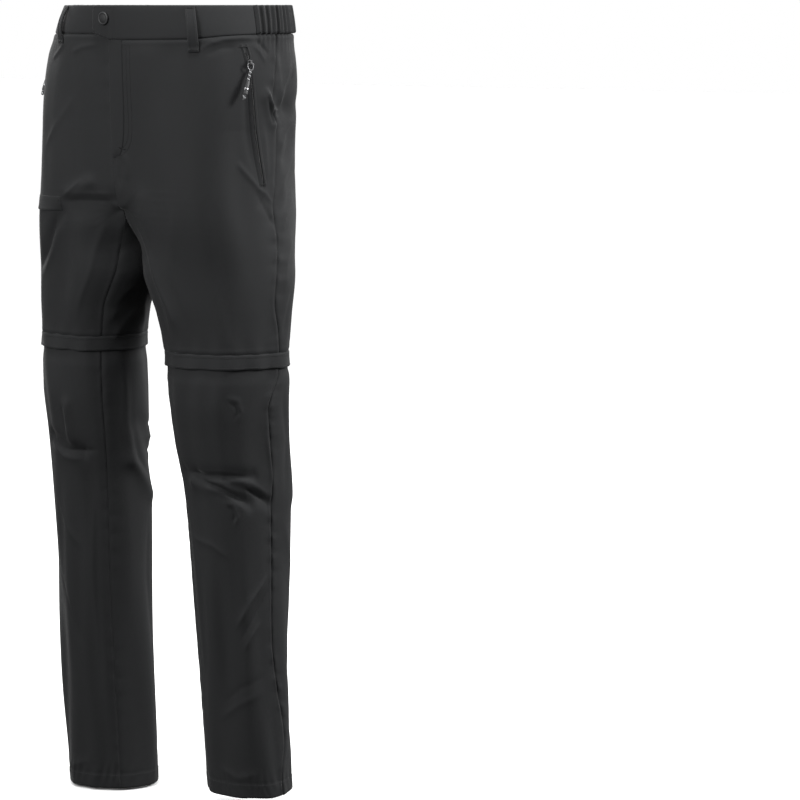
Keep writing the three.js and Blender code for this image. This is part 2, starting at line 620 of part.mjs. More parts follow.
// Slider, bail, cord, moulded grip and cord end, which hang from the slider's crown
function addPocketPull(side) {
  const share = (SLIDER_DOWN - POCKET_TOP.down) / (POCKET_FOOT.down - POCKET_TOP.down);
  const { around, down } = pocketLine(share);
  const seat = frameAt(side, around, down, SEAM + STRIP_CLOTH + SEAM);
  add(`pocket_slider_${side.name}`, sliderGeometry(), FINISH.metal).applyMatrix4(seat);

  const axle = SLIDER.base + SLIDER.crown - SLIDER.wall - SLIDER.slot / 2;
  const hang = seat.clone().multiply(new THREE.Matrix4().makeTranslation(0, 0, axle));
  const bail = add(`pull_bail_${side.name}`, bailGeometry(), FINISH.metal);
  bail.applyMatrix4(hang);

  // The cord leans towards the front, whichever side it hangs on
  const lean = new THREE.Matrix4().makeRotationZ(-side.sign * PULL_LEAN);
  const tie = BAIL.length + SEAM;
  const hanging = hang.clone().multiply(new THREE.Matrix4().makeTranslation(0, tie, 0)).multiply(lean);
  const straight = (from, length) => [0, 0.5, 1].map((s) => new THREE.Vector3(0, from + s * length, 0));
  const gripStart = PULL_CORD.length + SEAM;
  const tailStart = gripStart + GRIP.length + SEAM;
  const pieces = [
    ["cord", tubeGeometry(straight(0, PULL_CORD.length), PULL_CORD.radius, 4), FINISH.cord],
    ["grip", gripGeometry().translate(0, gripStart, 0), FINISH.rubber],
    ["tail", tubeGeometry(straight(tailStart, PULL_TAIL.length), PULL_TAIL.radius, 2), FINISH.cord],
  ];
  for (const [name, geometry, finish] of pieces)
    add(`pull_${name}_${side.name}`, geometry, finish).applyMatrix4(hanging);
}

addWaistband();
addBeltLoops();
addSnap();
addUpperLegs();
addFly();
addFlaps();
addKneeZips();
addLowerLegs();
addPockets();

export default trousers;
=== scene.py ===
"""Convertible zip-off trousers, filled out as they are when worn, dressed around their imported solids.

Lengths are in millimetres until a mesh is made, +Z is up, the wearer faces -Y and the wearer's left is +X.
A place on the cloth is "around" (0 at the centre front and the inseam, 0.5 at the side seam, 1 at the
centre back and the inseam again) and "down" (the depth below the waist).
"""

import logging
import math
from dataclasses import dataclass, field
from enum import Enum
from functools import cached_property
from typing import Callable, Sequence

import bpy
import numpy as np
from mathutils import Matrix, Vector

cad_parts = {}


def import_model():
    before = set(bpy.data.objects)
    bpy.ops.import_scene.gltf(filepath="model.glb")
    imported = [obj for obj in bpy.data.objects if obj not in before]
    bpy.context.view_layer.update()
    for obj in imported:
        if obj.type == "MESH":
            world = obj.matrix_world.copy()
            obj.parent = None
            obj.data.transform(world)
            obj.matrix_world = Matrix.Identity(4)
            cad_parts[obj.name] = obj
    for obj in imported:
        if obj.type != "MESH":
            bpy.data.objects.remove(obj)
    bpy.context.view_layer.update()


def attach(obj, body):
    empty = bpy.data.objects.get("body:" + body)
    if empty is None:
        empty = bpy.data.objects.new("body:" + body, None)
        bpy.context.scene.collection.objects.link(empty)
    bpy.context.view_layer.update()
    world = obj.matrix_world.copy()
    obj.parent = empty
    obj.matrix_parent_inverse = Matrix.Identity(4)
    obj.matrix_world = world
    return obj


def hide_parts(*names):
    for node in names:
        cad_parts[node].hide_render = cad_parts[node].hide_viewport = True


LOG = logging.getLogger("trousers")
MM = 0.001
Array = np.ndarray
Color = tuple[float, float, float]
Rows = tuple[tuple[float, ...], ...]
TAU = 2 * math.pi


class Side(Enum):
    """The wearer's left or right half. The value is the sign of its x."""

    LEFT = 1
    RIGHT = -1

    @property
    def label(self) -> str:
        """The side's name as it ends the names of pieces."""
        return self.name.lower()

    @property
    def flap_edge(self) -> float:
        """Depth of the lower edge of the flap over the knee zip."""
        return 466.0 if self is Side.LEFT else 455.0

    @property
    def hem(self) -> float:
        """Depth of the hem."""
        return 1039.0 if self is Side.LEFT else 1065.0


class Body(str, Enum):
    """The bodies that a piece can ride on."""

    GARMENT = "garment"
    PULL_LEFT = "pull_left"
    PULL_RIGHT = "pull_right"


class Slot(str, Enum):
    """The record's material slots."""

    CLOTH = "cloth"
    BAND = "band"
    ZIP = "zip"
    METAL = "metal"
    CORD = "cord"
    GRIP = "grip"


class Fold(Enum):
    """The section of a crease: a soft bank, or a tuck with a ridge beside its trough."""

    BANK = "bank"
    TUCK = "tuck"


def ease(share: Array) -> Array:
    """Smooth step from 0 to 1."""
    s = np.clip(share, 0.0, 1.0)
    return s * s * (3 - 2 * s)


def spaced(start: float, end: float, steps: int) -> Array:
    """Evenly spaced values, both ends included."""
    return np.linspace(start, end, steps + 1)


def bell(distance: Array, reach: float, power: float = 2) -> Array:
    """1 at no distance, and next to nothing well beyond the reach."""
    return np.exp(-((distance / reach) ** power))


def triples(first: Array, second: Array, third: Array) -> Array:
    """Three values or arrays side by side, as points or as a part's grain."""
    return np.stack(np.broadcast_arrays(first, second, third), -1)


def unit(vectors: Array) -> Array:
    """Vectors made one long, along the last axis."""
    return vectors / np.linalg.norm(vectors, axis=-1, keepdims=True)


def run_lengths(line: Array) -> Array:
    """Length along a line of points up to each of them."""
    return np.concatenate([[0.0], np.cumsum(np.linalg.norm(np.diff(line, axis=0), axis=1))])


def squarish(value: Array, power: float) -> Array:
    """A sine or cosine raised to a power, with its sign kept, for rounded squares."""
    return np.sign(value) * np.abs(value) ** power


def edged(start: float, end: float, cell: float, scale: float = 1.0) -> Array:
    """Values from start to end that lie closer together beside both ends.

    Args:
        start: First value.
        end: Last value.
        cell: Spacing in the middle, in millimetres.
        scale: Millimetres for each unit of the values.

    Returns:
        The values, rising from start to end.
    """
    near = np.array([0.0, 0.35, 0.8, 1.4, 2.3]) / scale
    steps = max(2, round((end - start - 2 * near[-1]) * scale / cell))
    middle = spaced(start + near[-1], end - near[-1], steps)
    return np.concatenate([start + near[:-1], middle, end - near[:-1][::-1]])


class Curve:
    """A monotone cubic through places and values."""

    def __init__(self, at: Sequence[float], value: Sequence[float]) -> None:
        """Stores the points and the slopes at them.

        Args:
            at: Places, rising.
            value: The value at each place.
        """
        self.at = np.array(at, float)
        self.value = np.array(value, float)
        self.step = np.diff(self.at)
        rise = np.diff(self.value) / self.step
        product, total = rise[:-1] * rise[1:], rise[:-1] + rise[1:]
        inner = np.where(product > 0, 2 * product / np.where(product > 0, total, 1.0), 0.0)
        self.slope = np.concatenate([rise[:1], inner, rise[-1:]])

    def __call__(self, where: Array) -> Array:
        """The curve's value at each place, level beyond its ends."""
        x = np.clip(where, self.at[0], self.at[-1])
        i = np.clip(np.searchsorted(self.at, x, side="left") - 1, 0, len(self.step) - 1)
        s = (x - self.at[i]) / self.step[i]
        low = self.value[i] * (1 + 2 * s) * (1 - s) ** 2 + self.slope[i] * self.step[i] * s * (1 - s) ** 2
        return (low + self.value[i + 1] * s * s * (3 - 2 * s)
                - self.slope[i + 1] * self.step[i] * s * s * (1 - s))


def curves(rows: Rows) -> list[Curve]:
    """One curve for each column of a table after its first, which is the place."""
    table = np.array(rows, float)
    return [Curve(table[:, 0], table[:, i]) for i in range(1, table.shape[1])]


# The shape of the garment.


@dataclass(frozen=True)
class Cut:
    """Sizes that several sewn pieces share.

    band_height: Height of the waistband.
    band_rows: around, and height of the left front's band, which is deeper towards the fly.
    elastic: Places where the gathered side parts start and end.
    gathers: Number of gathers in each.
    flap_height: Height of the flap over the knee zip.
    zip_height: Height of the knee zip's tape.
    under_flap: How far zip and lower leg lie below the shell there.
    hem_height: Height of the turned-up hem.
    """

    band_height: float = 37.0
    band_rows: Rows = ((0, 44.5), (0.2, 43), (0.32, 38.5), (0.412, 37))
    elastic: tuple[float, float] = (0.412, 0.72)
    gathers: int = 14
    flap_height: float = 20.0
    zip_height: float = 11.5
    under_flap: float = -1.9
    hem_height: float = 20.0

    def left_band(self, around: Array) -> Array:
        """Height of the left front's band at places round the half."""
        return curves(self.band_rows)[0](np.maximum(around, 0.0))


CUT = Cut()


@dataclass
class Shell:
    """The smooth surface that every sewn piece is cut from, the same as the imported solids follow.

    hip_rows: down, half width, middle, reach to the front and back, and how square front and back are.
    leg_rows: down, centre x and y, half width, half depth, and turn towards the back.
    seam_rows: down, and the angles of the inseam and the side seam.
    crotch_powers: How hooked the crotch curve is in front and at the back.
    ledge_spread, ledge_reach: How far the crotch curve is spread in depth, and how near the inseam.
    probe: Steps round and down that the normals are measured over.
    """

    hip_rows: Rows = (
        (0, 160, 0, 129, 130, 2, 2), (44, 171, -7, 121, 138, 2.3, 2), (100, 178, -14, 114, 144, 2.5, 2.15),
        (180, 182, -18, 108, 146, 2.7, 2.3), (264, 187, -20, 105, 140, 2.7, 2.3),
    )
    leg_rows: Rows = (
        (160, 78, -14, 94, 118, 10), (264, 86, -17, 98, 111, 15), (340, 97, -31, 100, 88, 25),
        (400, 113, -40, 88, 71, 32), (460, 117, -40, 80, 68, 30), (510, 117, -38, 77, 69, 30),
        (560, 117, -34, 74, 67, 25), (640, 120, -25, 69, 65, 10), (760, 121, -20, 65, 62, -10),
        (900, 122, -14, 64, 56, -18), (1065, 123, -4, 62, 52, -18),
    )
    seam_rows: Rows = (
        (0, 222, 4), (130, 222, 2), (264, 222, 2), (340, 223, 3), (466, 222, 6), (520, 222, -4),
        (900, 222, -4), (1065, 222, 4),
    )
    softening_starts: float = 40.0
    crotch_curve_starts: float = 130.0
    crotch: float = 264.0
    crotch_powers: tuple[float, float] = (4.0, 2.0)
    ledge_spread: float = 26.0
    ledge_reach: float = 0.08
    probe: tuple[float, float] = (0.004, 1.5)
    fork_reach: float = 0.24
    fork_height: float = 60.0
    half_seam: float = 0.01
    around_length: float = 460.0
    hip: list[Curve] = field(init=False)
    leg: list[Curve] = field(init=False)
    seam: list[Curve] = field(init=False)

    def __post_init__(self) -> None:
        """Makes the curves through the tables."""
        self.hip, self.leg, self.seam = curves(self.hip_rows), curves(self.leg_rows), curves(self.seam_rows)

    @staticmethod
    def _angle(around: Array, first: Array, side: Array, last: Array) -> Array:
        """The angle on a section that runs from first over side to last, in radians."""
        low = first + (side - first) * around * 2
        return np.radians(np.where(around < 0.5, low, side + (last - side) * (around * 2 - 1)))

    def _leg_share(self, around: Array, down: Array) -> Array:
        """Share of the leg section: none at the waist, all of it below the crotch.

        Away from the inseam the change takes more depth, so that it leaves no ledge in the cloth.
        """
        soft = ease((down - self.softening_starts) / (self.crotch - self.softening_starts))
        hook = np.where(around < 0.5, *self.crotch_powers)
        spread = self.ledge_spread * ease((0.5 - np.abs(around - 0.5)) / self.ledge_reach)
        crotch_curve = np.zeros_like(soft + spread)
        for offset in (-1.0, -0.6, -0.2, 0.2, 0.6, 1.0):
            s = (down + offset * spread - self.crotch_curve_starts) / (self.crotch - self.crotch_curve_starts)
            s = np.clip(s, 0, 1)
            crotch_curve += (1 - (1 - s**hook) ** (1 / hook)) / 6
        near_centre = (2 * around - 1) ** 4
        return (1 - near_centre) * soft + near_centre * crotch_curve

    def point(self, sign: Array, around: Array, down: Array) -> Array:
        """Places on the bare shell.

        Args:
            sign: 1 on the wearer's left and -1 on the right.
            around: Places round the half, from 0 to 1.
            down: Depths below the waist.

        Returns:
            The points, with a last axis of three.
        """
        sign, around, down = np.broadcast_arrays(*(np.asarray(a, float) for a in (sign, around, down)))
        inseam, outseam = (curve(down) for curve in self.seam)
        half, middle, front, back, front_power, back_power = (curve(down) for curve in self.hip)
        hip_angle = self._angle(around, np.full_like(around, -90.0), outseam, np.full_like(around, 90.0))
        cosine, sine = np.cos(hip_angle), np.sin(hip_angle)
        power = np.where(sine < 0, front_power, back_power)
        scale = (np.abs(cosine) ** power + np.abs(sine) ** power) ** (-1 / power)
        hip_x = half * scale * cosine
        hip_y = middle + np.where(sine < 0, front, back) * scale * sine

        centre_x, centre_y, wide, deep, turn = (curve(down) for curve in self.leg)
        turn = np.radians(turn)
        leg_angle = self._angle(around, inseam, 360 + outseam, 360 + inseam) - turn
        fade = 1 - ease((down - self.crotch) / self.fork_height)
        reach_out = 1 + self.fork_reach * (2 * around - 1) ** 8 * fade
        along, across = wide * reach_out * np.cos(leg_angle), deep * reach_out * np.sin(leg_angle)
        leg_x = centre_x + along * np.cos(turn) - across * np.sin(turn)
        leg_y = centre_y + along * np.sin(turn) + across * np.cos(turn)

        share = self._leg_share(around, down)
        x = hip_x + (np.maximum(leg_x, self.half_seam) - hip_x) * share
        y = hip_y + (leg_y - hip_y) * share
        return np.stack([sign * np.maximum(x, self.half_seam), y, -down], -1)

    def normal(self, sign: Array, around: Array, down: Array) -> Array:
        """Outward directions. Below the crotch both sides of the inseam share one.

        Args:
            sign: 1 on the wearer's left and -1 on the right.
            around: Places round the half, from 0 to 1.
            down: Depths below the waist.

        Returns:
            Unit vectors, with a last axis of three.
        """
        sign, around, down = np.broadcast_arrays(*(np.asarray(a, float) for a in (sign, around, down)))
        above = down < self.crotch
        ends = []
        aside, below = self.probe
        for step in (-aside, aside):
            place = around + step
            wrapped = np.where(np.abs(place - 0.5) > 0.5, place - np.floor(place), place)
            ends.append(self.point(sign, np.where(above, np.clip(place, 0, 1), wrapped), down))
        upper = np.where(above, down - below, np.maximum(down - below, self.crotch))
        fall = self.point(sign, around, down + below) - self.point(sign, around, upper)
        return unit(np.cross(fall, ends[1] - ends[0]) * sign[..., None])


CREASE_CORE = 0.45  # Width of a crease's crisp core, as a share of its own
TUCK_SLOPE = 2.3  # How much higher a tuck's ridge stands than a bank of the same height
CREASE_FADE = (0.3, 0.12)  # Share of a crease's length that it fades over, and what is left at its ends


@dataclass(frozen=True)
class Crease:
    """A fold that runs along a path of (around, down) places.

    side: The half that it lies on.
    path: Its places.
    width: Its half width in millimetres.
    height: How far it rises, or sinks where negative.
    fold: Its section.
    fades: Whether it fades out towards its ends.
    crisp: Share of its height that stands in a narrow core.
    """

    side: Side
    path: tuple[tuple[float, float], ...]
    width: float
    height: float
    fold: Fold = Fold.BANK
    fades: bool = True
    crisp: float = 0.42

    def relief(self, place: Array, around_length: float) -> Array:
        """The crease's height at flat places.

        Args:
            place: Flat places in millimetres, with a last axis of two.
            around_length: Millimetres once round a half.

        Returns:
            Heights in millimetres.
        """
        points = np.array(self.path, float) * (around_length, 1.0)
        lengths = np.linalg.norm(np.diff(points, axis=0), axis=1)
        before = np.concatenate([[0.0], np.cumsum(lengths)[:-1]])
        best = np.full(place.shape[:-1], 1e9)
        along, signed = np.zeros_like(best), np.zeros_like(best)
        for start, end, length, done in zip(points[:-1], points[1:], lengths, before):
            run = (end - start) / length
            offset = place - start
            reach = np.clip(offset @ run, 0, length)
            distance = np.linalg.norm(offset - reach[..., None] * run, axis=-1)
            nearer = distance < best
            best = np.where(nearer, distance, best)
            along = np.where(nearer, (done + reach) / lengths.sum(), along)
            signed = np.where(nearer, offset[..., 0] * run[1] - offset[..., 1] * run[0], signed)
        soft, core = bell(best, self.width), bell(best / self.width, CREASE_CORE)
        height = self.height * (soft * (1 - self.crisp) + core * self.crisp)
        if self.fold is Fold.TUCK:
            height = height * TUCK_SLOPE * signed / self.width
        if self.fades:
            reach, rest = CREASE_FADE
            height = height * ease(np.minimum(along, 1 - along) / reach + rest)
        return height


L, R = Side.LEFT, Side.RIGHT


@dataclass
class Relief:
    """Everything that moves the cloth off the bare shell: creases, puckers and slow waves.

    main_folds: The large folds that the solids have too: side, around, down, end around, end down, half
        width and height.
    creases: The finer folds, listed one by one.
    side_seam_rows: down, and how far the side seam strays round the left half and the right half.
    calm: Millimetres from seams and band over which the slow waves grow.
    gather_height, gather_fall: Height of the gathers below the elastic, and how far down they reach.
    """

    shell: Shell
    seed: int = 11
    wave_count: int = 26
    wave_height: float = 0.34
    calm: float = 30.0
    gather_height: float = 2.2
    gather_fall: float = 17.0
    main_folds: tuple[tuple[Side, float, float, float, float, float, float], ...] = (
        (L, 0.09, 604, 0.4, 606, 9, -2.5), (L, 0.13, 616, 0.36, 622, 10, 3),
        (L, 0.16, 610, 0.375, 642, 9, -4),
        (L, 0.29, 614, 0.46, 642, 9, -3), (L, 0.08, 250, 0.12, 400, 14, 2), (L, 0.52, 135, 0.66, 130, 12, -4),
        (L, 0.46, 118, 0.5, 148, 9, 4), (L, 0.56, 480, 0.6, 640, 12, 3), (R, 0.28, 574, 0.1, 594, 9, -4),
        (R, 0.16, 530, 0.15, 578, 10, 3), (R, 0.15, 254, 0, 252, 10, -3), (R, 0.15, 246, 0.08, 230, 9, 3),
        (R, 0.18, 272, 0.29, 342, 9, -3), (R, 0.94, 460, 0.93, 608, 12, 3), (R, 0.93, 608, 0.84, 660, 12, 3),
        (R, 0.88, 560, 0.8, 640, 16, -4),
    )
    side_seam_rows: Rows = (
        (40, 0, 0), (138, -0.009, 0.006), (152, 0.012, -0.006), (230, 0.002, 0.004), (262, -0.012, 0.008),
        (304, -0.006, -0.004), (378, -0.026, -0.012), (420, -0.01, 0.004), (470, 0, 0), (518, -0.016, -0.01),
        (600, -0.008, 0.006), (662, -0.02, -0.014), (720, -0.018, -0.008), (826, -0.03, -0.016),
        (966, 0.02, 0.012), (1024, -0.016, -0.006), (1065, -0.01, 0),
    )
    creases: tuple[Crease, ...] = field(default_factory=lambda: CREASES)

    def __post_init__(self) -> None:
        """Settles the slow waves and the seam's course."""
        chance = np.random.default_rng(self.seed)
        length = np.exp(chance.uniform(math.log(34), math.log(150), self.wave_count))
        angle = chance.normal(0.0, 0.42, self.wave_count)
        number = TAU / length
        self.waves = np.stack([number * np.cos(angle), number * np.sin(angle) * 0.45,
                               chance.uniform(0, TAU, self.wave_count), length / 90.0])
        self.stray = curves(self.side_seam_rows)
        self.folds = tuple(
            Crease(side, ((a, d), (a2, d2)), width, height, fades=False, crisp=0.0)
            for side, a, d, a2, d2, width, height in self.main_folds
        )

    def strayed(self, sign: Array, around: Array, down: Array) -> Array:
        """Moves places round the body with the side seam's own wavering course."""
        stray = np.where(sign > 0, self.stray[0](down), self.stray[1](down))
        return around + stray * np.sin(np.pi * np.clip(around, 0, 1)) ** 4

    def height(self, sign: Array, around: Array, down: Array, fine: bool = True) -> Array:
        """How far the cloth stands off the bare shell.

        Args:
            sign: 1 on the wearer's left and -1 on the right.
            around: Places round the half.
            down: Depths below the waist.
            fine: Whether the finer creases, the slow waves and the puckers count.

        Returns:
            Heights in millimetres.
        """
        sign, around, down = np.broadcast_arrays(*(np.asarray(a, float) for a in (sign, around, down)))
        place = np.stack([around * self.shell.around_length, down], -1)
        total = np.zeros(around.shape)
        for crease in self.folds + (self.creases if fine else ()):
            total += np.where(sign == crease.side.value, crease.relief(place, self.shell.around_length), 0.0)
        if not fine:
            return total
        wave = np.zeros_like(total)
        for across, fall, phase, share in self.waves.T:
            wave += share * np.sin(place[..., 0] * across * sign + place[..., 1] * fall + phase)
        calm = ease(np.minimum(around, 1 - around) * self.shell.around_length / self.calm)
        calm *= ease((down - CUT.band_height) / self.calm)
        total += wave * self.wave_height * calm
        first, last = CUT.elastic
        share = (around - first) / (last - first)
        inside = ease((share + 0.03) / 0.06) * ease((1.03 - share) / 0.06)
        below = np.maximum(down - CUT.band_height, 0.0)
        gather = np.sin(np.pi * CUT.gathers * share + 0.5 * np.sin(9 * share)) ** 2 - 0.4
        return total + self.gather_height * gather * inside * bell(below, self.gather_fall, 1.5)


def _both(path: tuple[tuple[float, float], ...], width: float, height: float,
          fold: Fold = Fold.BANK, drop: float = -8.0) -> tuple[Crease, Crease]:
    """One crease on each half, the right one a little higher up."""
    lower = tuple((around, down + drop) for around, down in path)
    return Crease(L, path, width, height, fold), Crease(R, lower, width, height, fold)


CREASES: tuple[Crease, ...] = (
    # Knee of the left leg: three creases that run together, and two small darts
    Crease(L, ((0.08, 603), (0.22, 607), (0.405, 606)), 4, -2.4),
    Crease(L, ((0.09, 611), (0.24, 613), (0.39, 613)), 6, 1.2),
    Crease(L, ((0.15, 609), (0.25, 619), (0.375, 643)), 3.5, -3.2),
    Crease(L, ((0.17, 618), (0.26, 628), (0.37, 652)), 7, 1.8),
    Crease(L, ((0.285, 613), (0.36, 621), (0.47, 644)), 4, -2.4),
    Crease(L, ((0.3, 606), (0.38, 613), (0.48, 636)), 6, 1.3),
    Crease(L, ((0.325, 508), (0.352, 513), (0.36, 522), (0.34, 531)), 2.8, -1.1),
    Crease(L, ((0.31, 501), (0.357, 506), (0.374, 521), (0.352, 538)), 4.5, 0.9),
    Crease(L, ((0.28, 645), (0.305, 650), (0.312, 659), (0.3, 667)), 2.6, -1.6),
    Crease(L, ((0.265, 640), (0.308, 643), (0.325, 659), (0.305, 674)), 4.5, 1.0),
    # Left thigh: long soft runs from the fork and from the hip
    Crease(L, ((0.02, 262), (0.09, 330), (0.15, 430)), 9, 1.6),
    Crease(L, ((0.2, 250), (0.17, 330), (0.2, 430)), 12, 1.1),
    Crease(L, ((0.33, 240), (0.3, 330), (0.32, 436)), 14, -1.0),
    Crease(L, ((0.43, 235), (0.46, 262), (0.49, 285)), 6, -1.5),
    Crease(L, ((0.455, 150), (0.47, 190), (0.475, 226)), 7, 1.5),
    Crease(L, ((0.462, 222), (0.45, 246), (0.43, 262)), 4, -1.1),
    # Hooked fold where the hip meets the side seam on the left
    Crease(L, ((0.455, 112), (0.478, 136), (0.497, 150), (0.53, 146)), 4, -3.0),
    Crease(L, ((0.45, 104), (0.472, 122), (0.492, 134), (0.53, 134)), 4.5, 3.0),
    Crease(L, ((0.55, 130), (0.62, 134), (0.7, 128)), 11, 2.4, crisp=0.0),
    Crease(L, ((0.52, 132), (0.542, 102), (0.592, 70)), 4.5, 1.9),
    Crease(L, ((0.535, 138), (0.56, 110), (0.615, 82)), 5, -1.6),
    Crease(L, ((0.515, 192), (0.545, 164), (0.6, 142)), 5, 2.2),
    Crease(L, ((0.525, 208), (0.56, 182), (0.61, 164)), 5, -1.7),
    Crease(L, ((0.507, 250), (0.53, 220), (0.59, 186)), 5, 2.1),
    Crease(L, ((0.52, 268), (0.55, 240), (0.61, 212)), 6, -1.8),
    Crease(L, ((0.502, 300), (0.52, 270), (0.57, 240)), 5, 1.9),
    Crease(L, ((0.505, 372), (0.515, 330), (0.55, 290)), 6, 1.9),
    Crease(L, ((0.507, 430), (0.524, 398), (0.55, 360)), 6, -1.7),
    Crease(L, ((0.5, 60), (0.497, 90), (0.485, 112)), 5, 1.4),
    # What the waistband and the pocket pull on the left front
    Crease(L, ((0.235, 58), (0.262, 49), (0.302, 44), (0.35, 42), (0.41, 43)), 3.2, 2.2),
    Crease(L, ((0.25, 64), (0.29, 55), (0.34, 53)), 4, -1.2),
    Crease(L, ((0.4, 44), (0.43, 52), (0.462, 64)), 3, -1.9),
    Crease(L, ((0.39, 50), (0.42, 60), (0.45, 74)), 3.5, 1.5),
    Crease(L, ((0.37, 100), (0.385, 126), (0.4, 158), (0.417, 190), (0.432, 218)), 5.5, -1.7, crisp=0.1),
    Crease(L, ((0.375, 198), (0.41, 218), (0.447, 238)), 4, 1.6),
    Crease(L, ((0.43, 232), (0.462, 240), (0.488, 256)), 4, 1.5),
    Crease(L, ((0.012, 186), (0.016, 206), (0.012, 238)), 3, -1.3),
    Crease(L, ((0.026, 188), (0.036, 204), (0.034, 226)), 4, 1.1),
    # Left shin and calf
    Crease(L, ((0.063, 690), (0.2, 698), (0.29, 716)), 6, 1.0),
    Crease(L, ((0.085, 604), (0.2675, 601), (0.405, 607)), 2.6, 0.8, Fold.TUCK),
    Crease(L, ((0.16, 611), (0.2775, 621), (0.37, 643)), 2.6, 1.1, Fold.TUCK),
    Crease(L, ((0.2925, 615), (0.3775, 625), (0.4625, 643)), 2.6, 0.8, Fold.TUCK),
    Crease(R, ((0.29, 571), (0.25, 586), (0.2, 593), (0.12, 591)), 3.0, -1.2, Fold.TUCK),
    Crease(L, ((0.4625, 738), (0.37, 770), (0.29, 810)), 6, 1.9),
    Crease(L, ((0.46, 756), (0.38, 790), (0.31, 826)), 6, -1.5),
    Crease(L, ((0.415, 798), (0.3625, 818), (0.325, 838)), 5, 1.4),
    Crease(L, ((0.4175, 892), (0.29, 910), (0.175, 934)), 7, 0.9),
    Crease(L, ((0.43, 872), (0.3, 888), (0.2, 912)), 7, -0.7),
    Crease(L, ((0.47, 540), (0.48, 580), (0.5, 640)), 6, 1.5),
    Crease(L, ((0.53, 490), (0.56, 560), (0.54, 640)), 8, -1.6),
    Crease(L, ((0.53, 660), (0.58, 730), (0.57, 830)), 10, 1.5),
    Crease(L, ((0.55, 850), (0.6, 900), (0.56, 990)), 10, -1.5),
    Crease(L, ((0.06, 640), (0.1, 760), (0.09, 900)), 12, 1.0),
    # Right thigh: the deep fold over the pocket and what hangs from it
    Crease(R, ((0.17, 254), (0.11, 252), (0.0, 252)), 2.6, -0.9, Fold.TUCK),
    Crease(R, ((0.16, 268), (0.08, 268), (0.0, 270)), 13, -2.3, crisp=0.0),
    Crease(R, ((0.16, 247), (0.09, 245), (0.0, 245)), 5, 1.8),
    Crease(R, ((0.175, 252), (0.14, 240), (0.1, 226)), 3.5, 1.7),
    Crease(R, ((0.2425, 72), (0.195, 58), (0.165, 48)), 4, 1.5),
    Crease(R, ((0.14, 62), (0.09, 54), (0.04, 50)), 4, 1.0),
    Crease(R, ((0.26, 190), (0.18, 150), (0.12, 116)), 7, 1.1),
    Crease(R, ((0.985, 420), (0.96, 386), (0.94, 362)), 6, 1.7),
    Crease(R, ((0.9725, 442), (0.93, 412), (0.8775, 388)), 6, 1.7),
    Crease(R, ((0.975, 405), (0.95, 380), (0.925, 366)), 5, -1.5),
    Crease(R, ((0.195, 272), (0.245, 318), (0.3, 345)), 4.5, -2.0),
    Crease(R, ((0.18, 280), (0.225, 326), (0.28, 360)), 7, 1.4),
    Crease(R, ((0.03, 262), (0.07, 320), (0.1, 420)), 9, 1.5),
    Crease(R, ((0.95, 330), (0.9, 370), (0.86, 432)), 7, 1.9),
    Crease(R, ((0.97, 310), (0.93, 350), (0.9, 400)), 5, -1.6),
    Crease(R, ((0.3, 240), (0.28, 330), (0.3, 420)), 12, 1.1),
    # Right knee and shin
    Crease(R, ((0.29, 570), (0.255, 584), (0.2, 591), (0.11, 594), (0.03, 590)), 4, -3.0),
    Crease(R, ((0.28, 582), (0.2, 602), (0.1, 604)), 6, 1.6),
    Crease(R, ((0.165, 526), (0.155, 578)), 4.5, 1.8),
    Crease(R, ((0.185, 528), (0.178, 574)), 5, -1.3),
    Crease(R, ((0.94, 462), (0.945, 554), (0.932, 608), (0.86, 656)), 5, 2.2),
    Crease(R, ((0.915, 470), (0.92, 556), (0.905, 604), (0.85, 640)), 5, -2.2),
    Crease(R, ((0.27, 660), (0.2, 700), (0.12, 730)), 8, 1.1),
    Crease(R, ((0.3, 760), (0.22, 800), (0.14, 870)), 9, -1.1),
    Crease(R, ((0.06, 640), (0.08, 760), (0.07, 900)), 11, 1.2),
    # Side seam of the right half, and the backs of both legs, which the photograph leaves unseen
    *_both(((0.5, 60), (0.52, 100), (0.54, 150)), 8, 1.5),
    *_both(((0.97, 300), (0.88, 285), (0.76, 268)), 5, -2.0, drop=2),
    *_both(((0.96, 318), (0.87, 300), (0.74, 290)), 7, 1.6, drop=2),
    *_both(((0.94, 345), (0.86, 335), (0.78, 332)), 6, -1.4, drop=0),
    *_both(((0.62, 560), (0.72, 575), (0.86, 570)), 5, -2.3),
    *_both(((0.6, 575), (0.72, 592), (0.88, 588)), 7, 2.0),
    *_both(((0.66, 602), (0.75, 612), (0.87, 606)), 5, -2.1),
    *_both(((0.64, 640), (0.74, 632), (0.84, 640)), 8, 1.3),
    *_both(((0.7, 180), (0.76, 260), (0.78, 350)), 16, 1.5),
    *_both(((0.88, 150), (0.85, 200), (0.8, 250)), 14, -1.4),
    *_both(((0.72, 700), (0.78, 800), (0.76, 930)), 12, 1.3),
    *_both(((0.85, 690), (0.87, 780), (0.85, 900)), 10, -1.2),
    Crease(R, ((0.5, 240), (0.53, 300), (0.52, 400)), 8, 1.4),
    Crease(R, ((0.5, 500), (0.53, 580), (0.51, 660)), 8, -1.4),
    Crease(R, ((0.51, 700), (0.54, 820), (0.52, 940)), 9, 1.3),
    # Hems break a little over the foot
    *_both(((0.14, 1000), (0.25, 1012), (0.36, 1004)), 8, 1.0, drop=26),
    *_both(((0.62, 985), (0.72, 998), (0.84, 990)), 9, -1.1, drop=26),
)


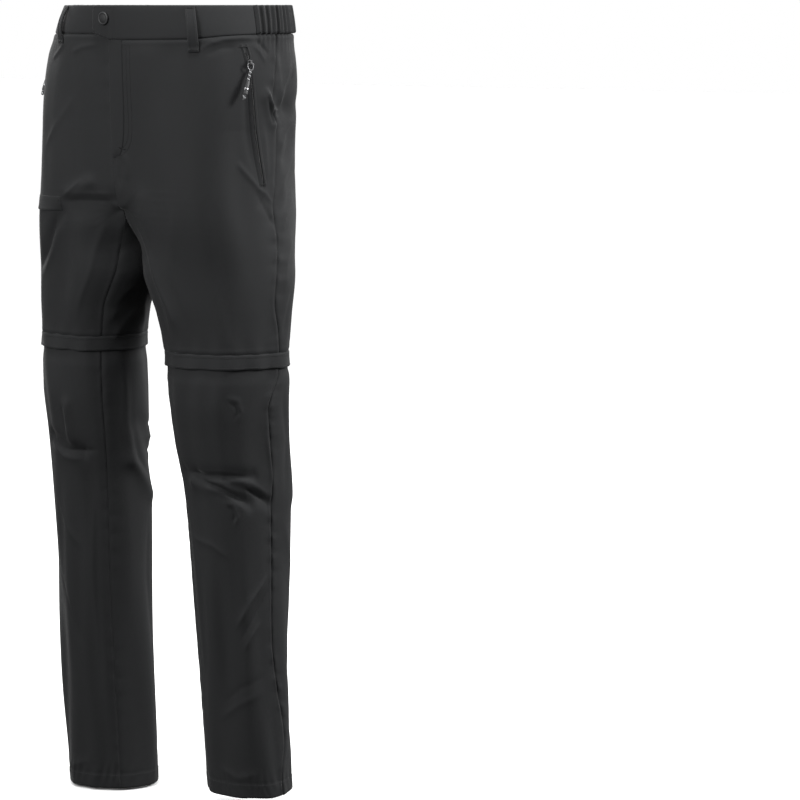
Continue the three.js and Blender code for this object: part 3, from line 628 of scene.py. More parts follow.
@dataclass
class Cloth:
    """The draped surface: the shell with its relief, as places for all sewn pieces."""

    shell: Shell
    relief: Relief

    def at(self, side: Side, around: Array, down: Array, lift: Array = 0.0, fine: bool = True,
           stray: bool = True) -> Array:
        """Places on the cloth of one half.

        Args:
            side: The half.
            around: Places round it.
            down: Depths below the waist.
            lift: How far the places stand off the cloth.
            fine: Whether they follow the finer creases.
            stray: Whether they follow the side seam's course.

        Returns:
            The points, with a last axis of three.
        """
        return self._place(np.asarray(float(side.value)), np.asarray(around, float), down, lift, fine, stray)

    def round(self, around: Array, down: Array, lift: Array = 0.0, fine: bool = True) -> Array:
        """Places that may lie past the centre front, where around is below 0, or past the centre back."""
        around = np.asarray(around, float)
        wrapped = np.where(around > 1, around - 2, around)
        sign = np.where(wrapped < 0, -1.0, 1.0)
        return self._place(sign, np.abs(wrapped), down, lift, fine, False)

    def _place(self, sign: Array, around: Array, down: Array, lift: Array, fine: bool, stray: bool) -> Array:
        """Shared by at and round, which say what the arguments are."""
        sign, around, down, lift = np.broadcast_arrays(sign, around, np.asarray(down, float), lift)
        if stray:
            around = self.relief.strayed(sign, around, down)
        height = self.relief.height(sign, around, down, fine) + lift
        point = (self.shell.point(sign, around, down)
                 + self.shell.normal(sign, around, down) * height[..., None])
        point[..., 0] = sign * np.maximum(point[..., 0] * sign, self.shell.half_seam)
        return point

    def frame(self, side: Side, around: float, down: float, lift: float) -> Array:
        """A place with its own axes on the main shape, as the solids use.

        Args:
            side: The half.
            around: Place round it.
            down: Depth below the waist.
            lift: How far it stands off.

        Returns:
            A 4x4 matrix whose columns are across, fall, out and the place.
        """
        sign = np.asarray(float(side.value))
        out = self.shell.normal(sign, around, down)
        fall = self.shell.point(sign, around, down + 2) - self.shell.point(sign, around, down - 2)
        fall = unit(fall)
        matrix = np.eye(4)
        matrix[:3, 0], matrix[:3, 1], matrix[:3, 2] = unit(np.cross(fall, out)), fall, out
        height = self.relief.height(sign, np.asarray(around), np.asarray(down), fine=False)
        matrix[:3, 3] = self.shell.point(sign, around, down) + out * (lift + height)
        return matrix


def moved(matrix: Array, points: Array) -> Array:
    """Points carried by a 4x4 matrix."""
    return points @ matrix[:3, :3].T + matrix[:3, 3]


def turned(angle: float) -> Array:
    """A turn about the third axis, as a 4x4 matrix."""
    matrix = np.eye(4)
    matrix[:2, :2] = [[math.cos(angle), -math.sin(angle)], [math.sin(angle), math.cos(angle)]]
    return matrix


def shifted(x: float, y: float, z: float) -> Array:
    """A shift, as a 4x4 matrix."""
    matrix = np.eye(4)
    matrix[:3, 3] = (x, y, z)
    return matrix


# Meshes.


@dataclass
class Part:
    """Points and faces in the making, with a flat place and a wear value for each point.

    points: Places in millimetres.
    faces: Corner numbers, quads or triangles.
    grain: Flat place in millimetres and closeness to a worn edge, for the materials.
    """

    points: Array
    faces: list[Array]
    grain: Array

    @staticmethod
    def joined(parts: Sequence["Part"]) -> "Part":
        """Several parts as one."""
        starts = np.cumsum([0] + [len(part.points) for part in parts[:-1]])
        faces = [face + start for part, start in zip(parts, starts) for face in part.faces]
        points = np.concatenate([part.points for part in parts])
        return Part(points, faces, np.concatenate([part.grain for part in parts]))

    def carried(self, matrix: Array) -> "Part":
        """The part moved by a 4x4 matrix."""
        return Part(moved(matrix, self.points), self.faces, self.grain)


class Mesher:
    """Makes the few kinds of mesh that a garment needs."""

    @staticmethod
    def _quads(number: Array, flip: bool = False) -> Array:
        """Faces between neighbouring rows and columns of corner numbers."""
        a, b, c, d = number[:-1, :-1], number[1:, :-1], number[1:, 1:], number[:-1, 1:]
        return np.stack([a, d, c, b] if flip else [a, b, c, d], -1).reshape(-1, 4)

    @staticmethod
    def wall(outer: Array, inner: Array, grain: Array, ring: bool = False) -> Part:
        """A closed wall between two layers of points.

        Args:
            outer: Outer points, rows by columns.
            inner: Inner points, the same size.
            grain: Flat places and wear for the layers.
            ring: Whether the last column joins the first.

        Returns:
            The wall.
        """
        rows, columns = outer.shape[:2]
        size = rows * columns
        number = np.arange(size).reshape(rows, columns)
        if ring:
            number = np.concatenate([number, number[:, :1]], 1)
        faces = [Mesher._quads(number), Mesher._quads(number, flip=True) + size]
        rims = [(number[0], False), (number[-1], True)]
        if not ring:
            rims += [(number[:, 0], True), (number[:, -1], False)]
        for rim, flip in rims:
            p, q = (rim[1:], rim[:-1]) if flip else (rim[:-1], rim[1:])
            faces.append(np.stack([p, q, q + size, p + size], -1))
        points = np.concatenate([outer.reshape(-1, 3), inner.reshape(-1, 3)])
        flat = grain.reshape(-1, 3)
        return Part(points, faces, np.concatenate([flat, flat]))

    @staticmethod
    def sweep(rings: Array, grain: Array, closed: bool = False) -> Part:
        """A body through closed rings of points, capped at both ends unless it is closed.

        Args:
            rings: Points, stations by places round each ring.
            grain: Flat places and wear, the same size.
            closed: Whether the last ring joins the first.

        Returns:
            The body.
        """
        stations, round_count = rings.shape[:2]
        number = np.arange(stations * round_count).reshape(stations, round_count)
        loop = np.concatenate([number, number[:, :1]], 1)
        if closed:
            loop = np.concatenate([loop, loop[:1]])
        faces = [Mesher._quads(loop)]
        points, marks = rings.reshape(-1, 3), grain.reshape(-1, 3)
        if not closed:
            middle = len(points)
            points = np.concatenate([points, rings[[0, -1]].mean(1)])
            marks = np.concatenate([marks, grain[[0, -1]].mean(1)])
            first, last = loop[0], loop[-1]
            faces.append(np.stack([first[:-1], first[1:], np.full(round_count, middle)], -1))
            faces.append(np.stack([last[1:], last[:-1], np.full(round_count, middle + 1)], -1))
        return Part(points, faces, marks)

    @staticmethod
    def body(rings: Array, wear: Array) -> Part:
        """A capped body through rings of points, whose flat place is that of its first two axes."""
        return Mesher.sweep(rings, triples(rings[..., 0], rings[..., 1], wear))

    @staticmethod
    def copies(base: Part, frames: Array, grain: Array) -> Part:
        """Many copies of a small part, one at each frame.

        Args:
            base: The part.
            frames: 4x4 matrices.
            grain: Flat place and wear of each copy.

        Returns:
            All copies in one.
        """
        count, size = len(frames), len(base.points)
        points = np.einsum("nij,kj->nki", frames[:, :3, :3], base.points) + frames[:, None, :3, 3]
        step = (np.arange(count) * size)[:, None, None]
        faces = [(face[None] + step).reshape(-1, face.shape[1]) for face in base.faces]
        return Part(points.reshape(-1, 3), faces, np.repeat(grain, size, axis=0))

    @staticmethod
    def capsule(length: float, radius: float, sides: int = 6) -> Part:
        """A short rounded thread along the first axis."""
        stations = np.array([(-0.5, 0.35), (-0.4, 0.9), (0.0, 1.0), (0.4, 0.9), (0.5, 0.35)])
        angle = spaced(0, TAU, sides)[:-1]
        reach = stations[:, 1:] * radius
        rings = triples(stations[:, :1] * length, reach * np.cos(angle), reach * np.sin(angle))
        return Mesher.sweep(rings, np.zeros_like(rings))

    @staticmethod
    def tube(line: Array, radius: Array, sides: int, closed: bool = False, twist: float = 0.0,
             strands: int = 0, strand_depth: float = 0.0) -> Part:
        """A round tube along a line of points, with laid strands where asked.

        Args:
            line: Points of the centre line.
            radius: Radius at each point.
            sides: Points round it.
            closed: Whether the line is closed.
            twist: Turns of the strands over the whole line.
            strands: Number of strands.
            strand_depth: Share of the radius between crown and valley of a strand.

        Returns:
            The tube. Its flat place is the share round it and the length along it.
        """
        tangent = (np.roll(line, -1, 0) - np.roll(line, 1, 0)) if closed else np.gradient(line, axis=0)
        tangent = unit(tangent)
        normal = np.cross(tangent[0], (0.3, 0.2, 0.93))
        normals = []
        for direction in tangent:
            normal = unit(normal - direction * (normal @ direction))
            normals.append(normal)
        side = np.array(normals)
        other = np.cross(tangent, side)
        angle = spaced(0, TAU, sides)[:-1]
        share = spaced(0, 1, len(line) - 1)[:, None]
        swell = 1 + strand_depth * np.cos(strands * (angle[None] - TAU * twist * share))
        reach = np.broadcast_to(np.asarray(radius, float), (len(line),))[:, None] * swell
        rings = line[:, None] + reach[..., None] * (
            side[:, None] * np.cos(angle)[None, :, None] + other[:, None] * np.sin(angle)[None, :, None])
        # The third grain value is the strands' swell, which the cord finish turns into painted highlight and
        # shade.
        return Mesher.sweep(rings, triples(angle / TAU * 1000, run_lengths(line)[:, None],
                                           (swell - 1) * 4), closed)

    @staticmethod
    def make(name: str, part: Part, material: bpy.types.Material, body: Body, slot: Slot) -> bpy.types.Object:
        """Turns a part into a smooth object that rides on a body.

        Args:
            name: The piece's name.
            part: Its points and faces.
            material: Its finish.
            body: The body that it rides on.
            slot: Not used.

        Returns:
            The object.
        """
        mesh = bpy.data.meshes.new(name)
        sizes = np.concatenate([np.full(len(face), face.shape[1], np.int32) for face in part.faces])
        corners = np.concatenate([face.ravel() for face in part.faces]).astype(np.int32)
        starts = np.concatenate([[0], np.cumsum(sizes)[:-1]]).astype(np.int32)
        mesh.vertices.add(len(part.points))
        mesh.vertices.foreach_set("co", (part.points * MM).astype(np.float32).ravel())
        mesh.loops.add(len(corners))
        mesh.loops.foreach_set("vertex_index", corners)
        mesh.polygons.add(len(sizes))
        mesh.polygons.foreach_set("loop_start", starts)
        mesh.polygons.foreach_set("loop_total", sizes)
        mesh.update(calc_edges=True)
        mesh.validate()
        mesh.polygons.foreach_set("use_smooth", np.ones(len(mesh.polygons), bool))
        grain = mesh.attributes.new("grain", "FLOAT_VECTOR", "POINT")
        grain.data.foreach_set("vector", (part.grain * (MM, MM, 1.0)).astype(np.float32).ravel())
        mesh.materials.append(material)
        piece = bpy.data.objects.new(name, mesh)
        bpy.context.scene.collection.objects.link(piece)
        if Mesher._volume(part) < 0:
            mesh.flip_normals()
        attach(piece, body.value)
        LOG.info("%s: %d faces", name, len(mesh.polygons))
        return piece

    @staticmethod
    def _volume(part: Part) -> float:
        """Six times the volume inside the faces, negative where they face inwards."""
        total = 0.0
        for face in part.faces:
            corner = part.points[face]
            for i in range(1, face.shape[1] - 1):
                cross = np.cross(corner[:, i], corner[:, i + 1])
                total += float(np.einsum("ij,ij->", corner[:, 0], cross))
        return total


# Finishes.


class Effects:
    """Shader node groups that several finishes share, each built once."""

    @staticmethod
    def _new(name: str, inputs: dict[str, float],
             outputs: Sequence[str]) -> tuple[bpy.types.NodeTree, "Nodes"]:
        """A new group that takes a place on the cloth and some numbers, and puts out numbers.

        Args:
            name: The group's name.
            inputs: Default of each number that it takes.
            outputs: Names of the numbers that it puts out.

        Returns:
            The group and a helper that adds nodes to it.
        """
        tree = bpy.data.node_groups.new(name, "ShaderNodeTree")
        tree.interface.new_socket(name="Place", in_out="INPUT", socket_type="NodeSocketVector")
        for label, default in inputs.items():
            socket = tree.interface.new_socket(name=label, in_out="INPUT", socket_type="NodeSocketFloat")
            socket.default_value = default
        for label in outputs:
            tree.interface.new_socket(name=label, in_out="OUTPUT", socket_type="NodeSocketFloat")
        return tree, Nodes(tree)

    @cached_property
    def weave(self) -> bpy.types.NodeTree:
        """Fine woven ribs: a height, and a mask that is 1 on the crowns of the yarns, which the finishes use
        to paint a highlight on the yarn crowns.
        """
        tree, make = self._new("weave", {"Ribs": 900.0, "Slant": 0.6}, ["Height", "Crown Highlight"])
        start, end = make.ends()
        turned_place = make.node("ShaderNodeVectorRotate", {"Vector": start.outputs["Place"],
                                                            "Angle": start.outputs["Slant"]})
        turned_place.rotation_type = "Z_AXIS"
        scaled = make.node("ShaderNodeVectorMath", {0: turned_place.outputs[0], 3: start.outputs["Ribs"]})
        scaled.operation = "SCALE"
        split = make.node("ShaderNodeSeparateXYZ", {0: scaled.outputs[0]})
        warp = make.math("SINE", make.math("MULTIPLY", split.outputs[0], TAU))
        weft = make.math("SINE", make.math("MULTIPLY", split.outputs[1], TAU))
        height = make.math("ADD", make.math("MULTIPLY", warp, 0.6), make.math("MULTIPLY", weft, 0.4))
        # The crown mask only lightens colour: a painted highlight on the yarn crowns.
        crown = make.ramp(height, (0.0, 0.0), (0.9, 1.0))
        make.join(height, end.inputs["Height"])
        make.join(crown, end.inputs["Crown Highlight"])
        return tree

    @cached_property
    def cloudiness(self) -> bpy.types.NodeTree:
        """Slow uneven patches of a handled surface, centred on 0."""
        tree, make = self._new("cloudiness", {"Scale": 14.0, "Amount": 0.1}, ["Value"])
        start, end = make.ends()
        noise = make.node("ShaderNodeTexNoise", {"Vector": start.outputs["Place"],
                                                 "Scale": start.outputs["Scale"], "Detail": 4.0})
        centred = make.math("SUBTRACT", noise.outputs["Fac"], 0.5)
        make.join(make.math("MULTIPLY", centred, start.outputs["Amount"]), end.inputs["Value"])
        return tree

    @cached_property
    def wear(self) -> bpy.types.NodeTree:
        """Rubbed edges: a mask from the grain's wear value, broken up by small noise."""
        tree, make = self._new("wear", {"Edge": 0.0, "Amount": 0.5}, ["Mask"])
        start, end = make.ends()
        noise = make.node("ShaderNodeTexNoise", {"Vector": start.outputs["Place"], "Scale": 420.0,
                                                 "Detail": 3.0})
        broken = make.math("MULTIPLY", start.outputs["Edge"],
                           make.ramp(noise.outputs["Fac"], (0.35, 0.3), (0.7, 1.0)))
        make.join(make.math("MULTIPLY", broken, start.outputs["Amount"]), end.inputs["Mask"])
        return tree


class Nodes:
    """Adds nodes and links to one node tree."""

    def __init__(self, tree: bpy.types.NodeTree) -> None:
        """Keeps the tree."""
        self.tree = tree

    def ends(self) -> tuple[bpy.types.Node, bpy.types.Node]:
        """The input and output nodes of a group."""
        return self.tree.nodes.new("NodeGroupInput"), self.tree.nodes.new("NodeGroupOutput")

    def join(self, value: object, socket: bpy.types.NodeSocket) -> None:
        """Links a socket to another, or sets a constant on it."""
        if isinstance(value, bpy.types.NodeSocket):
            self.tree.links.new(value, socket)
        else:
            socket.default_value = value

    def node(self, kind: str, inputs: dict[int | str, object]) -> bpy.types.Node:
        """A new node with its inputs linked or set.

        Args:
            kind: Blender's name of the node type.
            inputs: A socket or a constant for each input.

        Returns:
            The node.
        """
        made = self.tree.nodes.new(kind)
        for key, value in inputs.items():
            self.join(value, made.inputs[key])
        return made

    def math(self, operation: str, first: object, second: object = 0.0) -> bpy.types.NodeSocket:
        """The output of a math node."""
        made = self.node("ShaderNodeMath", {0: first, 1: second})
        made.operation = operation
        return made.outputs[0]

    def ramp(self, value: object, low: tuple[float, float],
             high: tuple[float, float]) -> bpy.types.NodeSocket:
        """Maps one range of a value to another, clamped.

        Args:
            value: The value.
            low: Lowest value, and what it becomes.
            high: Highest value, and what it becomes.

        Returns:
            The mapped value.
        """
        made = self.node("ShaderNodeMapRange", {0: value, 1: low[0], 2: high[0], 3: low[1], 4: high[1]})
        return made.outputs[0]

    def mix(self, share: object, first: object, second: object) -> bpy.types.NodeSocket:
        """A colour between two colours."""
        made = self.tree.nodes.new("ShaderNodeMix")
        made.data_type = "RGBA"
        for key, value in ((0, share), (6, first), (7, second)):
            self.join(value, made.inputs[key])
        return made.outputs[2]

    def group(self, tree: bpy.types.NodeTree, inputs: dict[str, object]) -> bpy.types.Node:
        """A group placed in the tree with its inputs linked or set."""
        made = self.tree.nodes.new("ShaderNodeGroup")
        made.node_tree = tree
        for key, value in inputs.items():
            self.join(value, made.inputs[key])
        return made

    def bump(self, height: object, depth: float, strength: float,
             under: bpy.types.NodeSocket | None = None) -> bpy.types.NodeSocket:
        """The normal of a bump.

        Args:
            height: Height from 0 to 1.
            depth: Millimetres for a height of 1.
            strength: Share of the effect.
            under: A normal to add it to.

        Returns:
            The normal.
        """
        inputs = {"Strength": strength, "Distance": depth * MM, "Height": height}
        if under is not None:
            inputs["Normal"] = under
        return self.node("ShaderNodeBump", inputs).outputs[0]


def rgba(color: Color) -> tuple[float, float, float, float]:
    """A colour with full alpha."""
    return (*color, 1.0)


def lighter(color: Color, share: float) -> Color:
    """A colour made lighter by a share."""
    return tuple(c * (1 + share) for c in color)


@dataclass(frozen=True)
class Finish:
    """A surface with a colour, a roughness, and the constants of its shader.

    name: The material's name.
    color: Linear colour.
    roughness: Mean roughness.
    metallic: Share of metal.
    sheen: Weight of the soft sheen of fibres.
    sheen_roughness: How wide the sheen is.
    coat: Weight of a clear coat.
    specular: Strength of plain reflections.
    """

    name: str
    color: Color
    roughness: float = 0.8
    metallic: float = 0.0
    sheen: float = 0.0
    sheen_roughness: float = 0.4
    coat: float = 0.0
    specular: float = 0.5

    def start(self) -> tuple[bpy.types.Material, Nodes, bpy.types.Node]:
        """A new material with its shader's constants set.

        Returns:
            The material, its node helper and its Principled shader.
        """
        material = bpy.data.materials.new(self.name)
        material.use_nodes = True
        shader = material.node_tree.nodes["Principled BSDF"]
        settings = {"Base Color": rgba(self.color), "Roughness": self.roughness, "Metallic": self.metallic,
                    "Sheen Weight": self.sheen, "Sheen Roughness": self.sheen_roughness,
                    "Coat Weight": self.coat, "Specular IOR Level": self.specular}
        for key, value in settings.items():
            shader.inputs[key].default_value = value
        return material, Nodes(material.node_tree), shader

    def grain(self, make: Nodes) -> tuple[bpy.types.NodeSocket, bpy.types.NodeSocket]:
        """The flat place on the cloth, and the wear value."""
        attribute = make.tree.nodes.new("ShaderNodeAttribute")
        attribute.attribute_name = "grain"
        split = make.node("ShaderNodeSeparateXYZ", {0: attribute.outputs["Vector"]})
        place = make.node("ShaderNodeCombineXYZ", {0: split.outputs[0], 1: split.outputs[1]})
        return place.outputs[0], split.outputs[2]


@dataclass(frozen=True)
class Softshell(Finish):
    """Smooth stretch cloth: fine slanted ribs with a painted highlight on their crowns, slow cloudiness, and
    paler yarn on rubbed edges.

    ribs: Ribs for each metre.
    cloud: How uneven its tone is.
    wear: How much paler its edges are.
    """

    ribs: float = 1250.0
    cloud: float = 0.3
    wear: float = 0.3

    def build(self, effects: Effects) -> bpy.types.Material:
        """The material.

        Args:
            effects: The shared node groups.

        Returns:
            The material.
        """
        material, make, shader = self.start()
        place, edge = self.grain(make)
        weave = make.group(effects.weave, {"Place": place, "Ribs": self.ribs})
        slow = make.group(effects.cloudiness, {"Place": place, "Scale": 9.0, "Amount": self.cloud})
        small = make.group(effects.cloudiness, {"Place": place, "Scale": 160.0, "Amount": self.cloud})
        rubbed = make.group(effects.wear, {"Place": place, "Edge": edge, "Amount": self.wear})
        # The weave's crowns are painted lighter: a painted highlight on the yarns. The cloudiness and the
        # rubbed edges are the cloth's own tone and wear.
        tone = make.math("ADD", make.math("MULTIPLY", weave.outputs["Crown Highlight"], 0.3), slow.outputs[0])
        tone = make.math("ADD", make.math("ADD", tone, small.outputs[0]), rubbed.outputs[0])
        color = make.mix(make.ramp(tone, (-0.3, 0.0), (1.1, 1.0)), rgba(lighter(self.color, -0.18)),
                         rgba(lighter(self.color, 0.85)))
        make.join(color, shader.inputs["Base Color"])
        rough = make.math("ADD", make.math("MULTIPLY", small.outputs[0], 0.25), self.roughness)
        make.join(make.math("SUBTRACT", rough, make.math("MULTIPLY", rubbed.outputs[0], 0.12)),
                  shader.inputs["Roughness"])
        coarse = make.node("ShaderNodeTexNoise", {"Vector": place, "Scale": 210.0, "Detail": 3.0})
        under = make.bump(coarse.outputs["Fac"], 0.25, 0.35)
        make.join(make.bump(weave.outputs["Height"], 0.07, 0.5, under), shader.inputs["Normal"])
        return material


@dataclass(frozen=True)
class Tape(Finish):
    """Woven zip tape: straight ribs along its edge, with a painted highlight on their crowns."""

    ribs: float = 1600.0

    def build(self, effects: Effects) -> bpy.types.Material:
        """The material.

        Args:
            effects: The shared node groups.

        Returns:
            The material.
        """
        material, make, shader = self.start()
        place, edge = self.grain(make)
        weave = make.group(effects.weave, {"Place": place, "Ribs": self.ribs, "Slant": 0.0})
        rubbed = make.group(effects.wear, {"Place": place, "Edge": edge, "Amount": 0.4})
        # The rib crowns are painted lighter: a painted highlight on the tape's weave.
        tone = make.math("ADD", make.math("MULTIPLY", weave.outputs["Crown Highlight"], 0.5), rubbed.outputs[0])
        color = make.mix(tone, rgba(self.color), rgba(lighter(self.color, 1.2)))
        make.join(color, shader.inputs["Base Color"])
        make.join(make.bump(weave.outputs["Height"], 0.08, 0.6), shader.inputs["Normal"])
        return material


@dataclass(frozen=True)
class Thread(Finish):
    """Sewing thread and zip coil: a filament with a fine lay along it, painted lighter on the crowns of the
    lay as a painted highlight.
    """

    lay: float = 2600.0

    def build(self, effects: Effects) -> bpy.types.Material:
        """The material.

        Args:
            effects: The shared node groups.

        Returns:
            The material.
        """
        material, make, shader = self.start()
        place, _ = self.grain(make)
        weave = make.group(effects.weave, {"Place": place, "Ribs": self.lay, "Slant": 0.9})
        tone = make.group(effects.cloudiness, {"Place": place, "Scale": 700.0, "Amount": 0.8})
        # The crowns of the lay are painted lighter: a painted highlight on the filament.
        share = make.ramp(make.math("ADD", tone.outputs[0], weave.outputs["Crown Highlight"]), (-0.4, 0.0), (1.2, 1.0))
        make.join(make.mix(share, rgba(lighter(self.color, -0.3)), rgba(lighter(self.color, 0.6))),
                  shader.inputs["Base Color"])
        make.join(make.bump(weave.outputs["Height"], 0.04, 0.5), shader.inputs["Normal"])
        return material


@dataclass(frozen=True)
class Metal(Finish):
    """Enamelled or plated metal with rubbed edges and fine handling marks.

    bare: Colour of the metal where its edges are rubbed.
    wear: How much of it is rubbed.
    """

    bare: Color = (0.4, 0.4, 0.41)
    wear: float = 0.6

    def build(self, effects: Effects) -> bpy.types.Material:
        """The material.

        Args:
            effects: The shared node groups.

        Returns:
            The material.
        """
        material, make, shader = self.start()
        place, edge = self.grain(make)
        rubbed = make.group(effects.wear, {"Place": place, "Edge": edge, "Amount": self.wear})
        marks = make.group(effects.cloudiness, {"Place": place, "Scale": 900.0, "Amount": 0.35})
        make.join(make.mix(rubbed.outputs[0], rgba(self.color), rgba(self.bare)), shader.inputs["Base Color"])
        make.join(make.math("ADD", marks.outputs[0], self.roughness), shader.inputs["Roughness"])
        bumps = make.ramp(marks.outputs[0], (-0.2, 0.0), (0.2, 1.0))
        make.join(make.bump(bumps, 0.03, 0.4), shader.inputs["Normal"])
        return material


@dataclass(frozen=True)
class Rubber(Finish):
    """Moulded satin rubber with a fine pebbled skin."""

    def build(self, effects: Effects) -> bpy.types.Material:
        """The material.

        Args:
            effects: The shared node groups.

        Returns:
            The material.
        """
        material, make, shader = self.start()
        place, edge = self.grain(make)
        pebbles = make.node("ShaderNodeTexVoronoi", {"Vector": place, "Scale": 2200.0})
        marks = make.group(effects.cloudiness, {"Place": place, "Scale": 300.0, "Amount": 0.5})
        rubbed = make.group(effects.wear, {"Place": place, "Edge": edge, "Amount": 0.5})
        share = make.ramp(make.math("ADD", marks.outputs[0], rubbed.outputs[0]), (-0.25, 0.0), (0.8, 1.0))
        make.join(make.mix(share, rgba(self.color), rgba(lighter(self.color, 1.6))),
                  shader.inputs["Base Color"])
        make.join(make.math("ADD", marks.outputs[0], self.roughness), shader.inputs["Roughness"])
        make.join(make.bump(pebbles.outputs["Distance"], 0.05, 0.5), shader.inputs["Normal"])
        return material


@dataclass(frozen=True)
class FleckedCord(Finish):
    """Laid cord: dark strands, painted lighter on their crowns and darker in the grooves between them as
    painted highlight and shade, with one pale reflective yarn that shows as flecks.

    pale: Colour of the pale yarn.
    pitch: Millimetres from fleck to fleck.
    """

    pale: Color = (0.55, 0.56, 0.57)
    pitch: float = 5.0

    def build(self, effects: Effects) -> bpy.types.Material:
        """The material.

        Args:
            effects: The shared node groups.

        Returns:
            The material.
        """
        material, make, shader = self.start()
        place, crown = self.grain(make)
        split = make.node("ShaderNodeSeparateXYZ", {0: place})
        lay = make.math("ADD", split.outputs[0], make.math("MULTIPLY", split.outputs[1], 1000 / self.pitch))
        winding = make.math("SINE", make.math("MULTIPLY", lay, TAU))
        noise = make.node("ShaderNodeTexNoise", {"Vector": place, "Scale": 900.0, "Detail": 2.0})
        fleck = make.ramp(make.math("ADD", winding, make.math("MULTIPLY", noise.outputs["Fac"], 0.5)),
                          (0.95, 0.0), (1.15, 1.0))
        # Painted highlight and shade of the lay: strands lighter on their crowns, darker in the grooves
        # between them.
        strand = make.ramp(crown, (-0.4, 0.0), (0.4, 1.0))
        dark = make.mix(strand, rgba(lighter(self.color, -0.5)), rgba(lighter(self.color, 0.5)))
        make.join(make.mix(fleck, dark, rgba(self.pale)), shader.inputs["Base Color"])
        fibres = make.group(effects.weave, {"Place": place, "Ribs": 2400.0, "Slant": 0.7})
        make.join(make.bump(fibres.outputs["Height"], 0.06, 0.6), shader.inputs["Normal"])
        return material


@dataclass(frozen=True)
class Wardrobe:
    """All finishes of the trousers."""

    cloth: Softshell = Softshell("softshell", (0.0145, 0.015, 0.0158), 0.78, sheen=0.1, sheen_roughness=0.35,
                                 specular=0.22)
    band: Softshell = Softshell("softshell_band", (0.015, 0.0155, 0.0163), 0.78, sheen=0.09,
                                sheen_roughness=0.35, specular=0.22, wear=0.5)
    # A darker copy of the softshell, used on the pocket welts beside the slit as painted shade.
    welt_shade_cloth: Softshell = Softshell("softshell_fold", (0.0135, 0.0139, 0.0146), 0.8, sheen=0.08, specular=0.2,
                                  wear=0.5)
    thread: Thread = Thread("sewing_thread", (0.0155, 0.016, 0.0168), 0.65, sheen=0.06, specular=0.3)
    coil: Thread = Thread("zip_coil", (0.008, 0.008, 0.0085), 0.42, specular=0.5, lay=900.0)
    tape: Tape = Tape("zip_tape", (0.009, 0.0092, 0.0097), 0.8, specular=0.2)
    enamel: Metal = Metal("black_enamel", (0.012, 0.0124, 0.0132), 0.42, specular=0.35,
                          bare=(0.22, 0.22, 0.23), wear=0.3)
    plated: Metal = Metal("plated_metal", (0.1, 0.1, 0.104), 0.34, metallic=0.8, bare=(0.55, 0.55, 0.56),
                          wear=0.6)
    rubber: Rubber = Rubber("moulded_rubber", (0.011, 0.0113, 0.012), 0.52)
    cord: FleckedCord = FleckedCord("flecked_cord", (0.03, 0.03, 0.032), 0.7, sheen=0.2)

    def dyed(self, effects: Effects) -> dict[str, bpy.types.Material]:
        """Every finish as a material, by the field's name."""
        return {name: getattr(self, name).build(effects) for name in self.__dataclass_fields__}


# Sewing.


@dataclass
class Sewing:
    """Rows of stitches on the cloth.

    length: Length of a stitch.
    gap: Space between two stitches.
    thickness: Thickness of the thread.
    sink: How deep a stitch lies in the cloth.
    wear: How rubbed the thread is.
    tack_step: Space between the stitches of a bartack.
    """

    cloth: Cloth
    length: float = 2.5
    gap: float = 0.75
    thickness: float = 0.5
    sink: float = 0.16
    wear: float = 0.3
    tack_step: float = 0.55

    def row(self, line: Array, out: Array, length: float | None = None) -> Part:
        """Stitches along a line of points.

        Args:
            line: Points on the cloth, close together.
            out: Outward direction at each point.
            length: Length of a stitch where it isn't the usual one.

        Returns:
            The stitches.
        """
        length = length or self.length
        along = run_lengths(line)
        count = max(1, int(along[-1] // (length + self.gap)))
        middle = (np.arange(count) + 0.5) * along[-1] / count

        def at(where: Array, table: Array) -> Array:
            """The rows of a table at lengths along the line."""
            return np.stack([np.interp(where, along, table[:, i]) for i in range(3)], -1)

        up = at(middle, out)
        place = at(middle, line) + up * (self.thickness / 2 - self.sink)
        frames = frames_of(place, at(middle + length / 2, line) - at(middle - length / 2, line), up)
        return Mesher.copies(Mesher.capsule(length, self.thickness / 2), frames,
                             triples(middle, 0.0, self.wear))

    def on_cloth(self, side: Side, path: Sequence[tuple[float, float]], lift: float, steps: int = 60,
                 stray: bool = True) -> Part:
        """A row along places of the cloth.

        Args:
            side: The half.
            path: Its (around, down) places.
            lift: How far the row lies off the cloth.
            steps: Points along it.
            stray: Whether it follows the side seam's course.

        Returns:
            The stitches.
        """
        points = np.array(path, float)
        share = spaced(0, 1, len(points) - 1)
        fine = spaced(0, 1, steps)
        around, down = (np.interp(fine, share, points[:, i]) for i in range(2))
        line = self.cloth.at(side, around, down, lift, stray=stray)
        return self.row(line, self.cloth.shell.normal(side.value, around, down))

    def round_row(self, around: Array, down: Array, lift: Array) -> Part:
        """A row along places that may cross the centre front or back."""
        around, down, lift = np.broadcast_arrays(np.asarray(around, float), down, lift)
        line = self.cloth.round(around, down, lift)
        out = self.cloth.round(around, down, lift + 1.0) - line
        return self.row(line, out)

    def bartack(self, place: Callable[[Array, Array], Array], width: float, height: float) -> Part:
        """A dense bar of stitches that holds a corner.

        Args:
            place: Gives points for offsets across and down, in millimetres.
            width: Width of the bar.
            height: Height of the bar.

        Returns:
            The stitches.
        """
        rows, ends = [], np.array([-height / 2, height / 2])
        for x in spaced(-width / 2, width / 2, max(3, round(width / self.tack_step))):
            line = place(np.full(2, x), ends)
            across = place(np.full(2, x + 0.5), ends) - line
            direction = np.cross(line[1] - line[0], across)
            direction *= np.sign(np.einsum("ij,ij->i", direction, line * (1, 1, 0)))[:, None]
            rows.append(self.row(line, unit(direction), length=height * 0.96))
        return Part.joined(rows)


